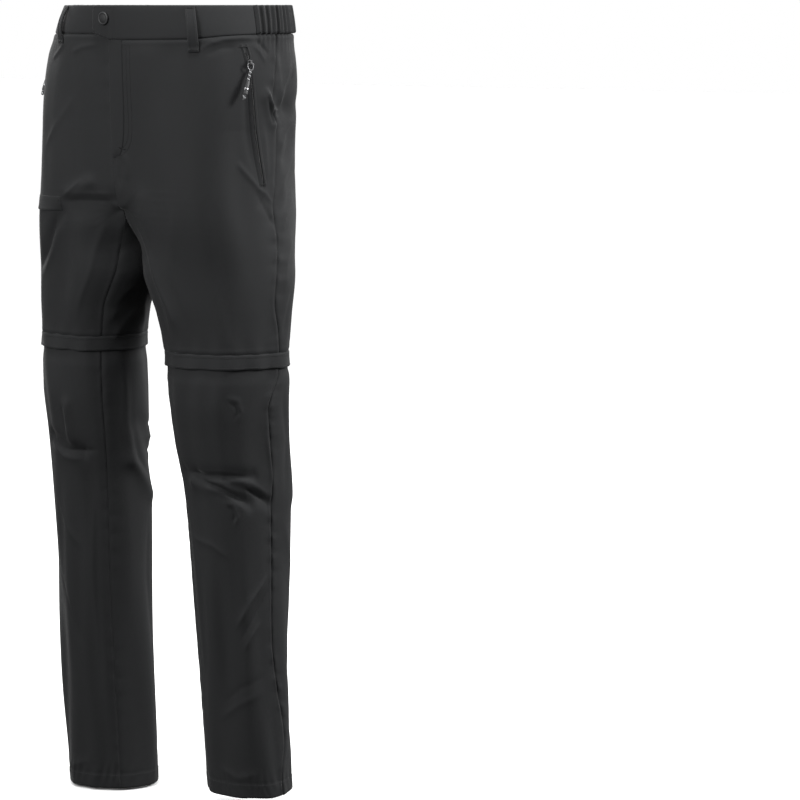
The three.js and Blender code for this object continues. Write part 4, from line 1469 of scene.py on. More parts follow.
@dataclass
class Workshop:
    """What every sub-assembly needs: the cloth, the sewing, and the dyed finishes."""

    cloth: Cloth
    sewing: Sewing
    finish: dict[str, bpy.types.Material]

    @property
    def length(self) -> float:
        """Millimetres once round a half, which turn them into shares of it."""
        return self.cloth.shell.around_length

    def patch(self, side: Side, around: Array, down: Array, lift: Array, under: Array, wear: Array = 0.0,
              ring: bool = False, stray: bool = True) -> Part:
        """Cloth between two heights over places of the garment.

        Args:
            side: The half.
            around: Places round it.
            down: Depths below the waist.
            lift: Height of its outer face.
            under: Height of its inner face.
            wear: Closeness to a rubbed edge.
            ring: Whether its last column joins the first.
            stray: Whether it follows the side seam's course.

        Returns:
            The cloth.
        """
        outer, inner = (self.cloth.at(side, around, down, height, stray=stray) for height in (lift, under))
        return Mesher.wall(outer, inner, triples(around * self.length, down, wear), ring)

    def piece(self, name: str, part: Part, finish: str, slot: Slot, replaced: Sequence[str] = (),
              body: Body = Body.GARMENT) -> bpy.types.Object:
        """Makes a piece and hides the solids that it stands for.

        Args:
            name: The piece's name.
            part: Its mesh in the making.
            finish: Name of its finish.
            slot: The record's slot.
            replaced: The solids that it stands for.
            body: The body that it rides on.

        Returns:
            The object.
        """
        made = Mesher.make(name, part, self.finish[finish], body, slot)
        if replaced:
            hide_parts(*replaced)
        return made


# Sub-assemblies.


@dataclass
class Waistband:
    """Waistband with its overlap tab and its gathered side parts.

    Sizes are in millimetres, or shares round a half where they say around.
    """

    shop: Workshop
    thickness: float = 2.6
    tab_end: float = 0.056
    tab_rise: float = 0.02
    tab_inset: float = 2.4
    gather_height: float = 3.1
    casing_seams: tuple[float, ...] = (0.27, 0.52, 0.77)
    cell: float = 2.6
    padding: float = 0.45

    def depth(self, around: Array, left: bool) -> Array:
        """Height of the band, whose left front is deeper towards the fly and has a slanted tab."""
        if not left:
            return np.full(np.shape(around), CUT.band_height)
        deep = CUT.left_band(around)
        return deep + (CUT.band_height - 1 - deep) * np.clip(-around / self.tab_end, 0, 1)

    def section(self, depth: Array, top_turn: float = 1.3) -> tuple[Array, Array, Array]:
        """The closed section of the band: depths, lifts and wear for each column.

        Args:
            depth: Height of the band at each column.
            top_turn: Radius of its rolled top edge.

        Returns:
            Depths, lifts and wear, columns by places round the section.
        """
        t, r = self.thickness, top_turn
        outer = [(0.0, r, -0.02), (0.06, 0, 0.12), (0.2, 0, 0.75), (0.45, 0, 1.0), (0.7, 0, 0.85),
                 (0.9, 0, 0.2)]
        rows = [(0.0, 0.0, -r), (0.0, r * 0.3, -r * 0.4)]
        rows += [(share, add, swell * self.padding) for share, add, swell in outer]
        rows += [(1.0, -1.6, -0.05), (1.0, -0.6, -0.4), (1.0, -0.1, -1.0), (1.0, -0.1, -t + 0.5),
                 (1.0, -0.6, -t)]
        rows += [(0.6, 0, -t), (0.3, 0, -t), (0.0, r, -t), (0.0, r * 0.3, -t + r * 0.4)]
        share, add, lift = np.array(rows).T
        wear = np.where(share + add / CUT.band_height < 0.08, 0.9, 0.1) * (lift > -r * 1.1)
        depths = depth[:, None] * share + add
        return depths, np.broadcast_to(lift, depths.shape), np.broadcast_to(wear, depths.shape)

    def strip(self, around: Array, left: bool, lift: Array) -> Part:
        """One sewn piece of the band.

        Args:
            around: Its columns.
            left: Whether it is the left front.
            lift: How far each column stands off the shell, or that for each column and place.

        Returns:
            The piece.
        """
        depths, lifts, wear = self.section(self.depth(around, left))
        lift = np.asarray(lift, float)
        lifts = lifts + (lift[:, None] if lift.ndim == 1 else lift)
        columns = np.broadcast_to(around[:, None], depths.shape)
        return Mesher.sweep(self.shop.cloth.round(columns, depths, lifts),
                            triples(columns * self.shop.length, depths, wear))

    def build(self) -> None:
        """Builds and dresses the band's five pieces."""
        length = self.shop.length
        gap = self.shop.cloth.shell.half_seam / length
        start, end = CUT.elastic
        left = edged(-self.tab_end, start - gap, self.cell, length)
        over = (self.thickness + 0.35) * ease(1 - left / self.tab_rise)
        corner = 0.9 * bell((left + self.tab_end) * length, 1.6)
        self._finish("waistband_front_left", self.strip(left, True, over - corner))
        right = -edged(gap, start - gap, self.cell, length)
        self._finish("waistband_front_right", self.strip(right, False, np.zeros(len(right))))
        for side in Side:
            self._elastic(side, spaced(start + gap, end - gap, CUT.gathers * 12))
        back = edged(end + gap, 2 - end - gap, self.cell, length)
        self._finish("waistband_back", self.strip(back, False, np.zeros(len(back))))
        self._topstitch(left, over)

    def _elastic(self, side: Side, around: Array) -> None:
        """One gathered side part, whose casing seams hold the gathers down and let them lean a little.

        Args:
            side: The half.
            around: Its columns.
        """
        start, end = CUT.elastic
        share = (around - start) / (end - start)
        uneven = share + 0.012 * np.sin(17 * share + side.value) + 0.008 * np.sin(41 * share)
        ribs = self.gather_height * (np.sin(np.pi * CUT.gathers * uneven) ** 2) ** 0.8
        ribs = ribs * (1 + 0.25 * np.sin(23 * share + 2 * side.value))
        depths, lifts, _ = self.section(self.depth(around, False))
        level = depths / CUT.band_height
        held = 1 - 0.65 * sum(bell(level - seam, 0.035) for seam in self.casing_seams)
        lift = ribs[:, None] * held * np.clip(1 + lifts / self.thickness, 0.25, 1)
        name = f"waistband_elastic_{side.label}"
        self._finish(name, self.strip(around * side.value, False, lift))
        rows = [self.shop.sewing.round_row(around * side.value, CUT.band_height * seam, ribs * 0.4 + 0.4)
                for seam in self.casing_seams]
        self.shop.piece(f"{name}_sewing", Part.joined(rows), "thread", Slot.BAND)

    def _finish(self, name: str, part: Part) -> None:
        """Makes one band piece."""
        made = self.shop.piece(name, part, "band", Slot.BAND, [name])

    def _topstitch(self, left: Array, over: Array) -> None:
        """The stitches round the tab."""
        sewing, inset = self.shop.sewing, self.tab_inset
        around = np.linspace(left[0] + inset / self.shop.length, self.tab_rise, 24)
        lift = np.interp(around, left, over) + 0.1
        low = self.depth(around, True) - inset
        rows = [sewing.round_row(around, low, lift), sewing.round_row(around, inset, lift + 0.1)]
        end = np.full(12, around[0])
        rows.append(sewing.round_row(end, np.linspace(inset, low[0], 12), np.full(12, lift[0])))
        self.shop.piece("waistband_tab_sewing", Part.joined(rows), "thread", Slot.BAND)


@dataclass
class BeltLoops:
    """Belt loops: folded strips that bow off the band between two bartacks.

    loops: Name, half, place at the top, place at the foot, and length.
    """

    shop: Workshop
    width: float = 12.5
    thickness: float = 1.8
    bow: float = 4.2
    seam: float = 0.3
    loops: tuple[tuple[str, Side, float, float, float], ...] = (
        ("front_left", L, 0.2225, 0.22, 59), ("front_right", R, 0.2, 0.1875, 49),
        ("back_left", L, 0.78, 0.78, 52),
        ("back_right", R, 0.78, 0.78, 52), ("back_centre", L, 1.0, 1.0, 52),
    )

    def bowed(self, share: Array) -> Array:
        """How far the loop's underside stands off at shares of its length."""
        free = np.clip((share - 0.07) / 0.82, 0, 1)
        return self.seam + 0.25 + self.bow * np.sin(np.pi * free) ** 0.8

    def build(self) -> None:
        """Builds the five loops with their stitches."""
        for name, side, top, foot, length in self.loops:
            share = edged(0, 1, 1.6, length)
            half, t = self.width / 2, self.thickness
            edge = [(half, 0.5), (half - 0.15, 0.85), (half - 0.8, 1.0), (half - 2.2, 0.93)]
            section = [(-x, z) for x, z in edge] + [(0, 0.86)] + edge[::-1]
            x, z = np.array(section + [(half - 0.3, 0.06), (0, 0.0), (-half + 0.3, 0.06)]).T
            wear = np.where(np.abs(np.abs(x) - half) < 1.0, 0.9, 0.05) * (z > 0.4)
            ends = 1 - 0.55 * bell(np.minimum(share, 1 - share) * length, 0.8)
            place = self._placer(side, top, foot, length)
            narrowed = 1 - 0.05 * np.sin(np.pi * share) ** 2
            rings = place(share[:, None], x[None] * narrowed[:, None], z[None] * t * ends[:, None])
            part = Mesher.sweep(rings, triples(x, share[:, None] * length, wear))
            name = f"belt_loop_{name}"
            self.shop.piece(name, part, "band", Slot.BAND, [name])
            self._sew(name, place, length)

    def _placer(self, side: Side, top: float, foot: float, length: float) -> Callable[..., Array]:
        """A function that gives points for shares of the length, offsets across, and heights."""
        cloth = self.shop.cloth

        def place(share: Array, x: Array, z: Array) -> Array:
            """Points of the loop at shares of its length, x across it and z above its underside."""
            share, x, z = np.broadcast_arrays(np.asarray(share, float), x, z)
            around = top + (foot - top) * share + x / cloth.shell.around_length
            lift = self.bowed(share) + z
            signed = around if side is Side.LEFT else -around
            return cloth.round(signed, 1 + share * length, lift, fine=False)

        return place

    def _sew(self, name: str, place: Callable[..., Array], length: float) -> None:
        """Two rows of edge stitches and a bartack at both ends."""
        sewing, rows = self.shop.sewing, []
        share = np.linspace(0.03, 0.97, 30)
        for x in (-self.width / 2 + 2.4, self.width / 2 - 2.4):
            line = place(share, np.full(30, x), np.full(30, self.thickness * 0.93))
            out = place(share, np.full(30, x), np.full(30, self.thickness + 2)) - line
            rows.append(sewing.row(line, unit(out)))
        for middle in (3.2 / length, 1 - 3.2 / length):
            def offset(x: Array, y: Array, middle: float = middle) -> Array:
                """Points of the bartack for offsets across and down."""
                return place(middle + y / length, x, np.full(np.shape(x), self.thickness * 0.95))
            rows.append(sewing.bartack(offset, self.width - 2.0, 1.8))
        self.shop.piece(f"{name}_sewing", Part.joined(rows), "thread", Slot.BAND)


@dataclass
class Snap:
    """Snap button on the tab: a dished cap with a rolled rim."""

    shop: Workshop
    radius: float = 8.6
    height: float = 3.4
    down: float = 17.0
    around: float = 0.015
    lift: float = 4.9

    def build(self) -> None:
        """Turns the cap's outline about the snap's axis."""
        r, h = self.radius, self.height / 2
        outline = [
            (0.01, -h), (r - 1.0, -h), (r - 0.25, -h + 0.3), (r, -h + 0.9), (r, h - 1.7), (r - 0.15, h - 1.2),
            (r - 0.5, h - 0.75), (r - 1.0, h - 0.45), (r - 1.5, h - 0.34), (r - 1.9, h - 0.4),
            (r - 2.2, h - 0.58), (r - 2.6, h - 0.62), (r - 4.0, h - 0.28), (2.0, h - 0.04), (0.01, h),
        ]
        wear = np.array([0, 0, 0, 0.1, 0.2, 0.4, 0.6, 0.5, 0.4, 0.2, 0.0, 0.0, 0.1, 0.2, 0.2])
        angle = spaced(0, TAU, 56)[:-1]
        reach, level = np.array(outline).T[..., None]
        part = Mesher.body(triples(reach * np.cos(angle), reach * np.sin(angle), level), wear[:, None])
        matrix = self.shop.cloth.frame(R, self.around, self.down, self.lift)
        self.shop.piece("snap_button", part.carried(matrix), "enamel", Slot.METAL, ["snap_button"])


@dataclass
class Panels:
    """The eight cloth panels of the legs, cut from the draped surface with their edges turned in.

    cell: Spacing of the points on the fronts and on the backs.
    turn: How far an edge turns in at a seam, and over what width.
    pucker: Height and reach of the puckers along the side seam.
    seam_gap: Half the space between two panels.
    """

    shop: Workshop
    thickness: float = 1.3
    cell: tuple[float, float] = (2.25, 3.8)
    turn: tuple[float, float] = (1.15, 1.9)
    pucker: tuple[float, float] = (0.95, 10.0)
    seam_gap: float = 0.01

    def _edges(self, around: Array, down: Array, first: float, last: float) -> Array:
        """How far the panel's cloth moves at its seams: edges turn in, and the side seam puckers.

        Args:
            around: Places round the half.
            down: Depths.
            first: The panel's first place.
            last: Its last place.

        Returns:
            Heights in millimetres.
        """
        depth, reach = self.turn
        total = np.zeros(around.shape)
        for edge in (first, last):
            distance = np.abs(around - edge) * self.shop.length
            outside = abs(edge - 0.5) < 0.1
            total -= (depth if outside else depth * 0.5) * bell(distance, reach)
            total += 0.3 * depth * bell(distance - 2.4 * reach, 2.6)
            rise, fade = self.pucker
            strength = (rise if outside else rise * 0.45) * (0.15 + 0.85 * np.sin(down / 61 + 5 * first) ** 2)
            wave = np.sin(TAU * down / 31 + 1.7 * np.sin(down / 53) + 9 * first)
            wave += 0.25 * np.sin(TAU * down / 13.5 + 3 * edge + np.sin(down / 29))
            total += strength * wave * bell(distance, fade, 1.4) * (1 - bell(distance, 2))
        return total

    def _panel(self, side: Side, first: float, last: float, rows: Array, top: Array | None,
               extra: Callable[[Array, Array], Array]) -> Part:
        """One panel.

        Args:
            side: The half.
            first: Its first place round the half.
            last: Its last place.
            rows: Depth of each row.
            top: Depth of its upper edge at each column, where it isn't the first row.
            extra: Further height at places, such as turned hems.

        Returns:
            The panel.
        """
        length = self.shop.length
        gap = self.seam_gap / length
        cell = self.cell[0] if first < 0.25 else self.cell[1]
        columns = edged(first + gap, last - gap, cell, length * 1.1)
        around, down = np.meshgrid(columns, rows)
        if top is not None:
            edge = np.interp(columns, spaced(0, 1, len(top) - 1), top)
            share = (rows - rows[0]) / (rows[-1] - rows[0])
            down = edge[None] * (1 - share[:, None]) + rows[-1] * share[:, None]
        move = self._edges(around, down, first, last) + extra(around, down)
        distance = np.minimum(around - first, last - around) * length
        return self.shop.patch(side, around, down, move, move - self.thickness,
                               0.55 * bell(distance - 3.6, 1.6))

    def build(self) -> None:
        """Builds the upper and the lower panels of both halves."""
        halves = (("front", 0.0, 0.5, (0.3, 0.43), 0.8, 0.2), ("back", 0.5, 1.0, (0.33, 0.45), 0.85, 0.27))
        for side in Side:
            foot = side.flap_edge - CUT.flap_height
            places = spaced(0, 1, 100)
            band = CUT.left_band(places) if side is L else np.full(101, CUT.band_height)
            for name, first, last, size, share, lower_width in halves:
                name = f"{name}_{side.label}"
                rows = edged(CUT.band_height + 0.2, foot, self.cell[0])
                part = self._panel(side, first, last, rows, band + 0.3, self._upper(side, foot, band))
                self.shop.piece(name, part, "cloth", Slot.CLOTH, [name])
                name = f"lower_{name}"
                rows = edged(foot + CUT.zip_height + 0.6, side.hem, self.cell[0])
                part = self._panel(side, first, last, rows, None, self._lower(side))
                self.shop.piece(name, part, "cloth", Slot.CLOTH, [name])

    def _upper(self, side: Side, foot: float, band: Array) -> Callable[[Array, Array], Array]:
        """The upper panels' further height: their edges under the band and over the flap, and the pocket."""
        def extra(around: Array, down: Array) -> Array:
            """Heights at places of the upper panels."""
            below_band = down - np.interp(around, spaced(0, 1, len(band) - 1), band)
            height = -1.2 * bell(below_band, 1.8) + 0.4 * bell(below_band - 4.5, 2.5)
            above_flap = foot - down
            height += -0.4 * bell(above_flap, 1.6) + 0.3 * bell(above_flap - 4, 2.4)
            return height + 0.5 * np.sin(around * 95 + side.value) * bell(above_flap, 16)
        return extra

    def _lower(self, side: Side) -> Callable[[Array, Array], Array]:
        """The lower panels' further height: they start under the flap, and their hem is turned up."""
        def extra(around: Array, down: Array) -> Array:
            """Heights at places of the lower panels."""
            height = CUT.under_flap * (1 - ease((down - side.flap_edge) / 22))
            above_hem = side.hem - down
            turned_up = ease((CUT.hem_height + 1.5 - above_hem) / 3)
            groove = bell(above_hem - CUT.hem_height, 1.5)
            wave = np.sin(around * 150 + 2 * np.sin(around * 31 + side.value) + above_hem * 0.12)
            height += 0.4 * turned_up - 0.4 * groove - 0.5 * bell(above_hem, 1.1)
            return height + 0.4 * wave * bell(above_hem - CUT.hem_height, 13)
        return extra


@dataclass
class Fly:
    """The folded edge of the left front over the right one, its J-shaped stitching and its bartack.

    The lap is a wedge: full at its folded edge, and flush with the front on the other side.
    """

    shop: Workshop
    past: float = 0.004
    inside: float = 0.034
    top: float = 44.8
    foot: float = 196.0
    fold: float = 1.5
    stitch_path: tuple[tuple[float, float], ...] = (
        (0.056, 46), (0.056, 90), (0.056, 140), (0.055, 160), (0.051, 173), (0.043, 182), (0.031, 189),
        (0.017, 194),
    )

    def build(self) -> None:
        """Builds the lap and sews it down."""
        cloth = self.shop.cloth
        share = edged(0, 1, 2.4, self.foot - self.top)
        taper = np.sqrt(np.maximum(0, 1 - share**6))
        across = np.array([-1.0, -0.97, -0.8, -0.4, 0.0, 0.15, 0.35, 0.6, 0.85, 1.0])
        reach = np.where(across < 0, self.past * taper[:, None], self.inside * (0.25 + 0.75 * taper[:, None]))
        around = across * reach
        down = self.top + (self.foot - self.top) * share[:, None] + 0 * around
        wedge = np.array([0.35, 0.9, 1.05, 1.0, 0.9, 0.8, 0.62, 0.38, 0.15, 0.0]) * self.fold + 0.22
        wedge = wedge * (1 - 0.5 * bell(1 - share[:, None], 1 / 60))
        wear = np.array([0.9, 0.9, 0.5, 0.1, 0, 0, 0, 0, 0, 0])
        outer = cloth.round(around, down, wedge)
        inner = cloth.round(around, down, 0.05)
        part = Mesher.wall(outer, inner, triples(around * self.shop.length, down, wear))
        self.shop.piece("fly_lap", part, "cloth", Slot.CLOTH, ["fly_lap"])
        self._sew()

    def _sew(self) -> None:
        """The J-shaped double row and the bartack at its foot."""
        sewing, cloth = self.shop.sewing, self.shop.cloth
        rows = [sewing.on_cloth(L, self.stitch_path, 0.12, 90, stray=False)]
        inner = tuple((around - 0.011, down - (3 if around < 0.05 else 0))
                      for around, down in self.stitch_path)
        rows.append(sewing.on_cloth(L, inner, 0.14, 90, stray=False))

        def bar(x: Array, y: Array) -> Array:
            """Points of the bartack for offsets across and down."""
            return cloth.at(L, 0.024 + x / cloth.shell.around_length, 184 + y + 0.3 * x, 0.75, stray=False)

        rows.append(sewing.bartack(bar, 8.0, 1.7))
        self.shop.piece("fly_sewing", Part.joined(rows), "thread", Slot.CLOTH)


@dataclass
class KneeZip:
    """The zip that carries the lower leg, and the stitched flap over it."""

    shop: Workshop
    flare: float = 1.0
    thickness: float = 1.4
    tape_thickness: float = 0.8
    tooth_pitch: float = 1.9
    slider: tuple[float, float, float] = (6.0, 5.5, 0.9)
    slider_around: float = 0.53

    def build(self) -> None:
        """Builds flap, tape, coil and slider on both legs."""
        for side in Side:
            self._flap(side)
            self._zip(side)

    def _wave(self, side: Side, around: Array) -> Array:
        """How the flap's edge waves and puffs out, most beside the side seam."""
        wave = 0.5 * np.sin(TAU * 7 * around + side.value) + 0.35 * np.sin(TAU * 12 * around + 1.3)
        return wave + 1.6 * bell(around - 0.53, 0.035)

    def _flap(self, side: Side) -> None:
        """The flap as a closed ring with a rolled lower edge and a stitched upper one."""
        cloth, top = self.shop.cloth, side.flap_edge - CUT.flap_height + 0.3
        around = spaced(0, 1, 200)[:-1]
        level = np.array([0, 0.02, 0.06, 0.14, 0.2, 0.27, 0.4, 0.55, 0.7, 0.82, 0.9, 0.95, 0.985,
                          1.0])[:, None]
        rise = np.array([-0.6, -0.35, 0.0, 0.3, 0.02, 0.12, 0.2, 0.25, 0.3, 0.3, 0.3, 0.2, -0.1,
                         -0.5])[:, None]
        wear = np.array([0, 0.1, 0.4, 0.5, 0.1, 0, 0, 0, 0, 0, 0.1, 0.3, 0.3, 0.1])[:, None]
        edge = self._wave(side, around) * level**1.5
        down = top + level * (CUT.flap_height - 0.3) + 0.35 * edge * level
        lift = self.flare * level + rise + edge
        under = np.minimum(lift, self.flare * level + edge) - self.thickness
        name = f"flap_{side.label}"
        part = self.shop.patch(side, around, down, lift, under, wear, ring=True)
        self.shop.piece(name, part, "cloth", Slot.CLOTH, [name])
        rows, path = [], spaced(0, 1, 220)
        for offset, height in ((4.0, 0.3), (CUT.flap_height - 2.8, self.flare * 0.86 + 0.3)):
            share = offset / CUT.flap_height
            puff = self._wave(side, path) * share**1.5
            line = cloth.at(side, path, top + offset + 0.35 * puff * share, height + puff)
            rows.append(self.shop.sewing.row(line, cloth.shell.normal(side.value, path, top + offset)))
        self.shop.piece(f"{name}_sewing", Part.joined(rows), "thread", Slot.CLOTH)

    def _zip(self, side: Side) -> None:
        """Tape, coil and slider under the flap."""
        cloth, under = self.shop.cloth, CUT.under_flap
        top = side.flap_edge - CUT.flap_height + 0.3
        down = top + spaced(0, 1, 6)[:, None] * CUT.zip_height
        tape = self.shop.patch(side, spaced(0, 1, 170)[:-1], down, under, under - self.tape_thickness,
                               ring=True)
        place = np.arange(0, 1, self.tooth_pitch / 500)
        middle = top + CUT.zip_height - 3.2
        point = cloth.at(side, place, middle, under + 0.35)
        fall = cloth.at(side, place, middle + 1, under + 0.35) - point
        frames = frames_of(point, fall, cloth.shell.normal(side.value, place, middle))
        teeth = Mesher.copies(Mesher.capsule(3.4, 0.55, 5), frames, triples(place * self.shop.length, 0, 0))
        self.shop.piece(f"knee_zip_{side.label}", tape, "tape", Slot.ZIP, [f"knee_zip_{side.label}"])
        self.shop.piece(f"knee_zip_coil_{side.label}", teeth, "coil", Slot.ZIP)
        width, height, thickness = self.slider
        place = (self.slider_around, side.flap_edge - 0.5 - height / 2, under + 0.3 + thickness / 2)
        body = rounded_block(width, height, thickness).carried(cloth.frame(side, *place))
        name = f"knee_zip_slider_{side.label}"
        self.shop.piece(name, body, "enamel", Slot.METAL, [name])


def frames_of(point: Array, along: Array, out: Array) -> Array:
    """Frames at points, with the first axis along a direction and the third outwards.

    Args:
        point: The places.
        along: Directions of the first axis.
        out: Outward directions.

    Returns:
        4x4 matrices.
    """
    along = unit(along)
    side = unit(np.cross(out, along))
    frames = np.zeros((len(point), 4, 4))
    for column, vectors in enumerate((along, side, np.cross(along, side), point)):
        frames[:, :3, column] = vectors
    frames[:, 3, 3] = 1
    return frames


def rounded_block(width: float, height: float, thickness: float, square: float = 5.0,
                  bevel: float = 0.3, taper: float = 1.0) -> Part:
    """A plate with a rounded outline and bevelled faces, its thickness along the third axis.

    Args:
        width: Its width.
        height: Its height.
        thickness: Its thickness.
        square: How square its outline is.
        bevel: Size of its bevels.
        taper: Width of its lower end as a share of the upper one.

    Returns:
        The plate.
    """
    angle = spaced(0, TAU, 32)[:-1]
    x, y = squarish(np.cos(angle), 2 / square), squarish(np.sin(angle), 2 / square)
    x = x * (1 + (taper - 1) * (y + 1) / 2)
    half = thickness / 2
    level, inset, wear = np.array([
        (-half, bevel, 0.3), (-half + bevel, 0, 0.9), (half - bevel, 0, 0.9),
        (half - bevel * 0.3, bevel * 0.35, 1.0), (half, bevel, 0.8), (half, bevel * 3, 0.0),
    ]).T[..., None]
    return Mesher.body(triples(x * (width / 2 - inset), y * (height / 2 - inset), level), wear)


@dataclass
class FrontPocket:
    """Slanted front pocket: stitched welt, coil zip, slider with its ring, and corded pull.

    top, foot: Ends of the zip as places.
    bend: Power that bends the zip's line.
    welt_half, slit_half, garage_half: Half widths of the welt, the slit and the slit's rounded top.
    welt_rows: Share of the way from the slit to the welt's edge, and height there.
    joint: Space between the cord, the grip and the knot.
    grip_rows: Share of the grip's length, and of its full width there.
    clasp_rows: Share of the grip's length, and how far the band round it stands off.
    knot_rows: Share of the knotted end's length, and of its radius.
    """

    shop: Workshop
    top: tuple[float, float] = (0.361, 53.0)
    foot: tuple[float, float] = (0.456, 228.0)
    bend: float = 0.8
    welt_half: float = 6.4
    slit_half: float = 1.9
    garage_half: float = 3.4
    stitch_offset: float = 4.4
    welt_rows: Rows = (
        (1.0, 0.0), (0.86, 0.12), (0.62, 0.34), (0.4, 0.65), (0.2, 0.95), (0.07, 1.02), (0.0, 0.7),
        (-0.03, 0.25),
    )
    tooth_pitch: float = 1.45
    slider_down: float = 75.0
    slider_lift: float = 1.8
    axle: float = 3.25
    lean: float = math.radians(11)
    ring: tuple[float, float, float] = (9.4, 9.5, 1.2)
    cord_radius: float = 1.6
    cord_length: float = 13.0
    grip: tuple[float, float, float] = (6.4, 4.4, 19.0)
    joint: float = 0.3
    tail_radius: float = 2.1
    tail_length: float = 6.0
    grip_rows: Rows = (
        (0, 0.5), (0.02, 0.66), (0.06, 0.74), (0.14, 0.82), (0.3, 0.9), (0.5, 0.95), (0.68, 0.97),
        (0.84, 1.0),
        (0.93, 0.99), (0.98, 0.9), (1.0, 0.72),
    )
    clasp_rows: Rows = ((0.52, 0.0), (0.53, 0.28), (0.6, 0.3), (0.67, 0.28), (0.68, 0.0))
    knot_rows: Rows = ((0, 0.75), (0.08, 0.95), (0.3, 1.05), (0.42, 0.82), (0.6, 1.0), (0.8, 0.9), (1.0, 0.6))

    def line(self, share: Array) -> tuple[Array, Array]:
        """Places along the zip."""
        share = np.asarray(share, float)
        around = self.top[0] + (self.foot[0] - self.top[0]) * np.clip(share, 0, 1) ** self.bend
        return around, self.top[1] + (self.foot[1] - self.top[1]) * share

    def hang(self, side: Side) -> Array:
        """The axle of the ring, with y down the cloth and z outwards."""
        share = (self.slider_down - self.top[1]) / (self.foot[1] - self.top[1])
        around, down = self.line(share)
        return (self.shop.cloth.frame(side, float(around), float(down), self.slider_lift)
                @ shifted(0, 0, self.axle))

    def pull_frame(self, side: Side) -> Array:
        """Where the cord starts on the ring, leaning towards the front."""
        return self.hang(side) @ shifted(0, self.ring[1] + 0.3, 0) @ turned(-side.value * self.lean)

    def build_pull(self, side: Side) -> None:
        """Cord, moulded grip with its band, and knotted end, which swing with the ring.

        Args:
            side: The half.
        """
        width, thick, length = self.grip
        start = self.cord_length + self.joint
        tail = start + length + self.joint
        total = tail + self.tail_length
        along = np.linspace(-1.2, total - 1.0, 130)
        path = triples(0.25 * np.sin(along / total * math.pi), along, 0.15 * np.sin(along / 5))
        radius = self.cord_radius * np.clip((along + 1.9) / 1.2, 0.55, 1)
        tube = Mesher.tube(path, radius, 18, twist=total / 7.5, strands=3, strand_depth=0.13)
        cord = self._hung("pull_cord", side, tube, "cord", Slot.CORD)

        angle = spaced(0, TAU, 28)[:-1]
        x, z = squarish(np.cos(angle), 0.7), squarish(np.sin(angle), 0.7)
        share, scale = np.array(self.grip_rows).T[..., None]
        waist = 1 - 0.05 * np.sin(np.pi * share)
        rings = triples(x * width / 2 * scale * waist, start + share * length, z * thick / 2 * scale)
        wear = np.where((np.abs(x) > 0.8) & (np.abs(z) > 0.4), 0.9, 0.1)
        grip = self._hung("pull_grip", side, Mesher.body(rings, wear), "rubber", Slot.GRIP)

        share, swell = np.array(self.clasp_rows).T[..., None]
        rings = triples(x * (width / 2 * 0.93 + swell), start + share * length,
                        z * (thick / 2 * 0.96 + swell))
        clasp = self._hung("pull_band", side, Mesher.body(rings, 0.9), "plated", Slot.METAL, solid=False)

        turns = np.linspace(0, 1, 60)
        swell = np.interp(turns, *np.array(self.knot_rows).T)
        line = triples(0.35 * np.sin(turns * 7), tail + turns * self.tail_length, 0.3 * np.cos(turns * 6))
        tube = Mesher.tube(line, self.tail_radius * swell * 0.92, 18, twist=2.2, strands=3, strand_depth=0.2)
        knot = self._hung("pull_tail", side, tube, "cord", Slot.CORD)
        centre = moved(self.pull_frame(side), path) * MM

    def _hung(self, name: str, side: Side, part: Part, finish: str, slot: Slot,
              solid: bool = True) -> bpy.types.Object:
        """Makes a piece that hangs from the ring and swings with it.

        Args:
            name: The piece's name without its side.
            side: The half.
            part: Its mesh in the making, from where the cord starts.
            finish: Name of its finish.
            slot: The record's slot.
            solid: Whether it stands for the solid of its name.

        Returns:
            The object.
        """
        name, body = f"{name}_{side.label}", Body.PULL_LEFT if side is L else Body.PULL_RIGHT
        matrix = self.pull_frame(side)
        return self.shop.piece(name, part.carried(matrix), finish, slot, [name] if solid else (), body)

    def build(self, side: Side) -> None:
        """Welt, zip, slider and ring.

        Args:
            side: The half.
        """
        self._welt(side)
        self._zip(side)
        self._slider(side)
        self._ring(side)

    def _welt(self, side: Side) -> None:
        """The stitched cloth on both sides of the zip, with rolled edges along the slit."""
        cloth, length, reach = self.shop.cloth, self.shop.length, self.foot[1] - self.top[1]
        share = edged(-0.02, 1.025, 2.2, reach)
        garage = 1 - ease((share - 0.05) / 0.05)
        slit = (self.slit_half + (self.garage_half - self.slit_half) * garage) * ease((1.03 - share) / 0.04)
        slit = slit[:, None]
        x, z = np.array(self.welt_rows).T
        offset = slit + x * (self.welt_half - slit)
        across = np.concatenate([-offset, offset[:, ::-1]], 1)
        fade = bell(np.minimum(share + 0.02, 1.025 - share) * reach, 1.5)
        lift = np.concatenate([z, z[::-1]]) * (1 - 0.9 * fade[:, None]) + 0.06
        ripple = 0.12 * np.sin(share * 71 + side.value)[:, None] * bell(across, 5)
        around, down = (values[:, None] for values in self.line(share))
        wear = bell(np.abs(across) - slit - 0.8, 0.9) * 0.3
        part = self.shop.patch(side, around + across / length, down, lift + ripple, 0.02, wear, stray=False)
        # The welts take the darker copy of the softshell: painted shade beside the slit.
        self.shop.piece(f"pocket_welt_{side.label}", part, "welt_shade_cloth", Slot.CLOTH)
        rows = []
        for offset in (-self.stitch_offset, self.stitch_offset):
            a, d = self.line(np.linspace(0.02, 0.985, 90))
            line = cloth.at(side, a + offset / length, d, 0.5, stray=False)
            rows.append(self.shop.sewing.row(line, cloth.shell.normal(side.value, a, d)))
        for end, half_bar in ((0.0, 5.5), (1.005, 4.0)):
            a, d = self.line(np.array(end))

            def bar(x: Array, y: Array, a: float = float(a), d: float = float(d)) -> Array:
                """Points of the bartack for offsets across and down."""
                return cloth.at(side, a + x / length, d + y, 1.2, stray=False)

            rows.append(self.shop.sewing.bartack(bar, half_bar * 2, 1.6))
        self.shop.piece(f"pocket_sewing_{side.label}", Part.joined(rows), "thread", Slot.CLOTH)

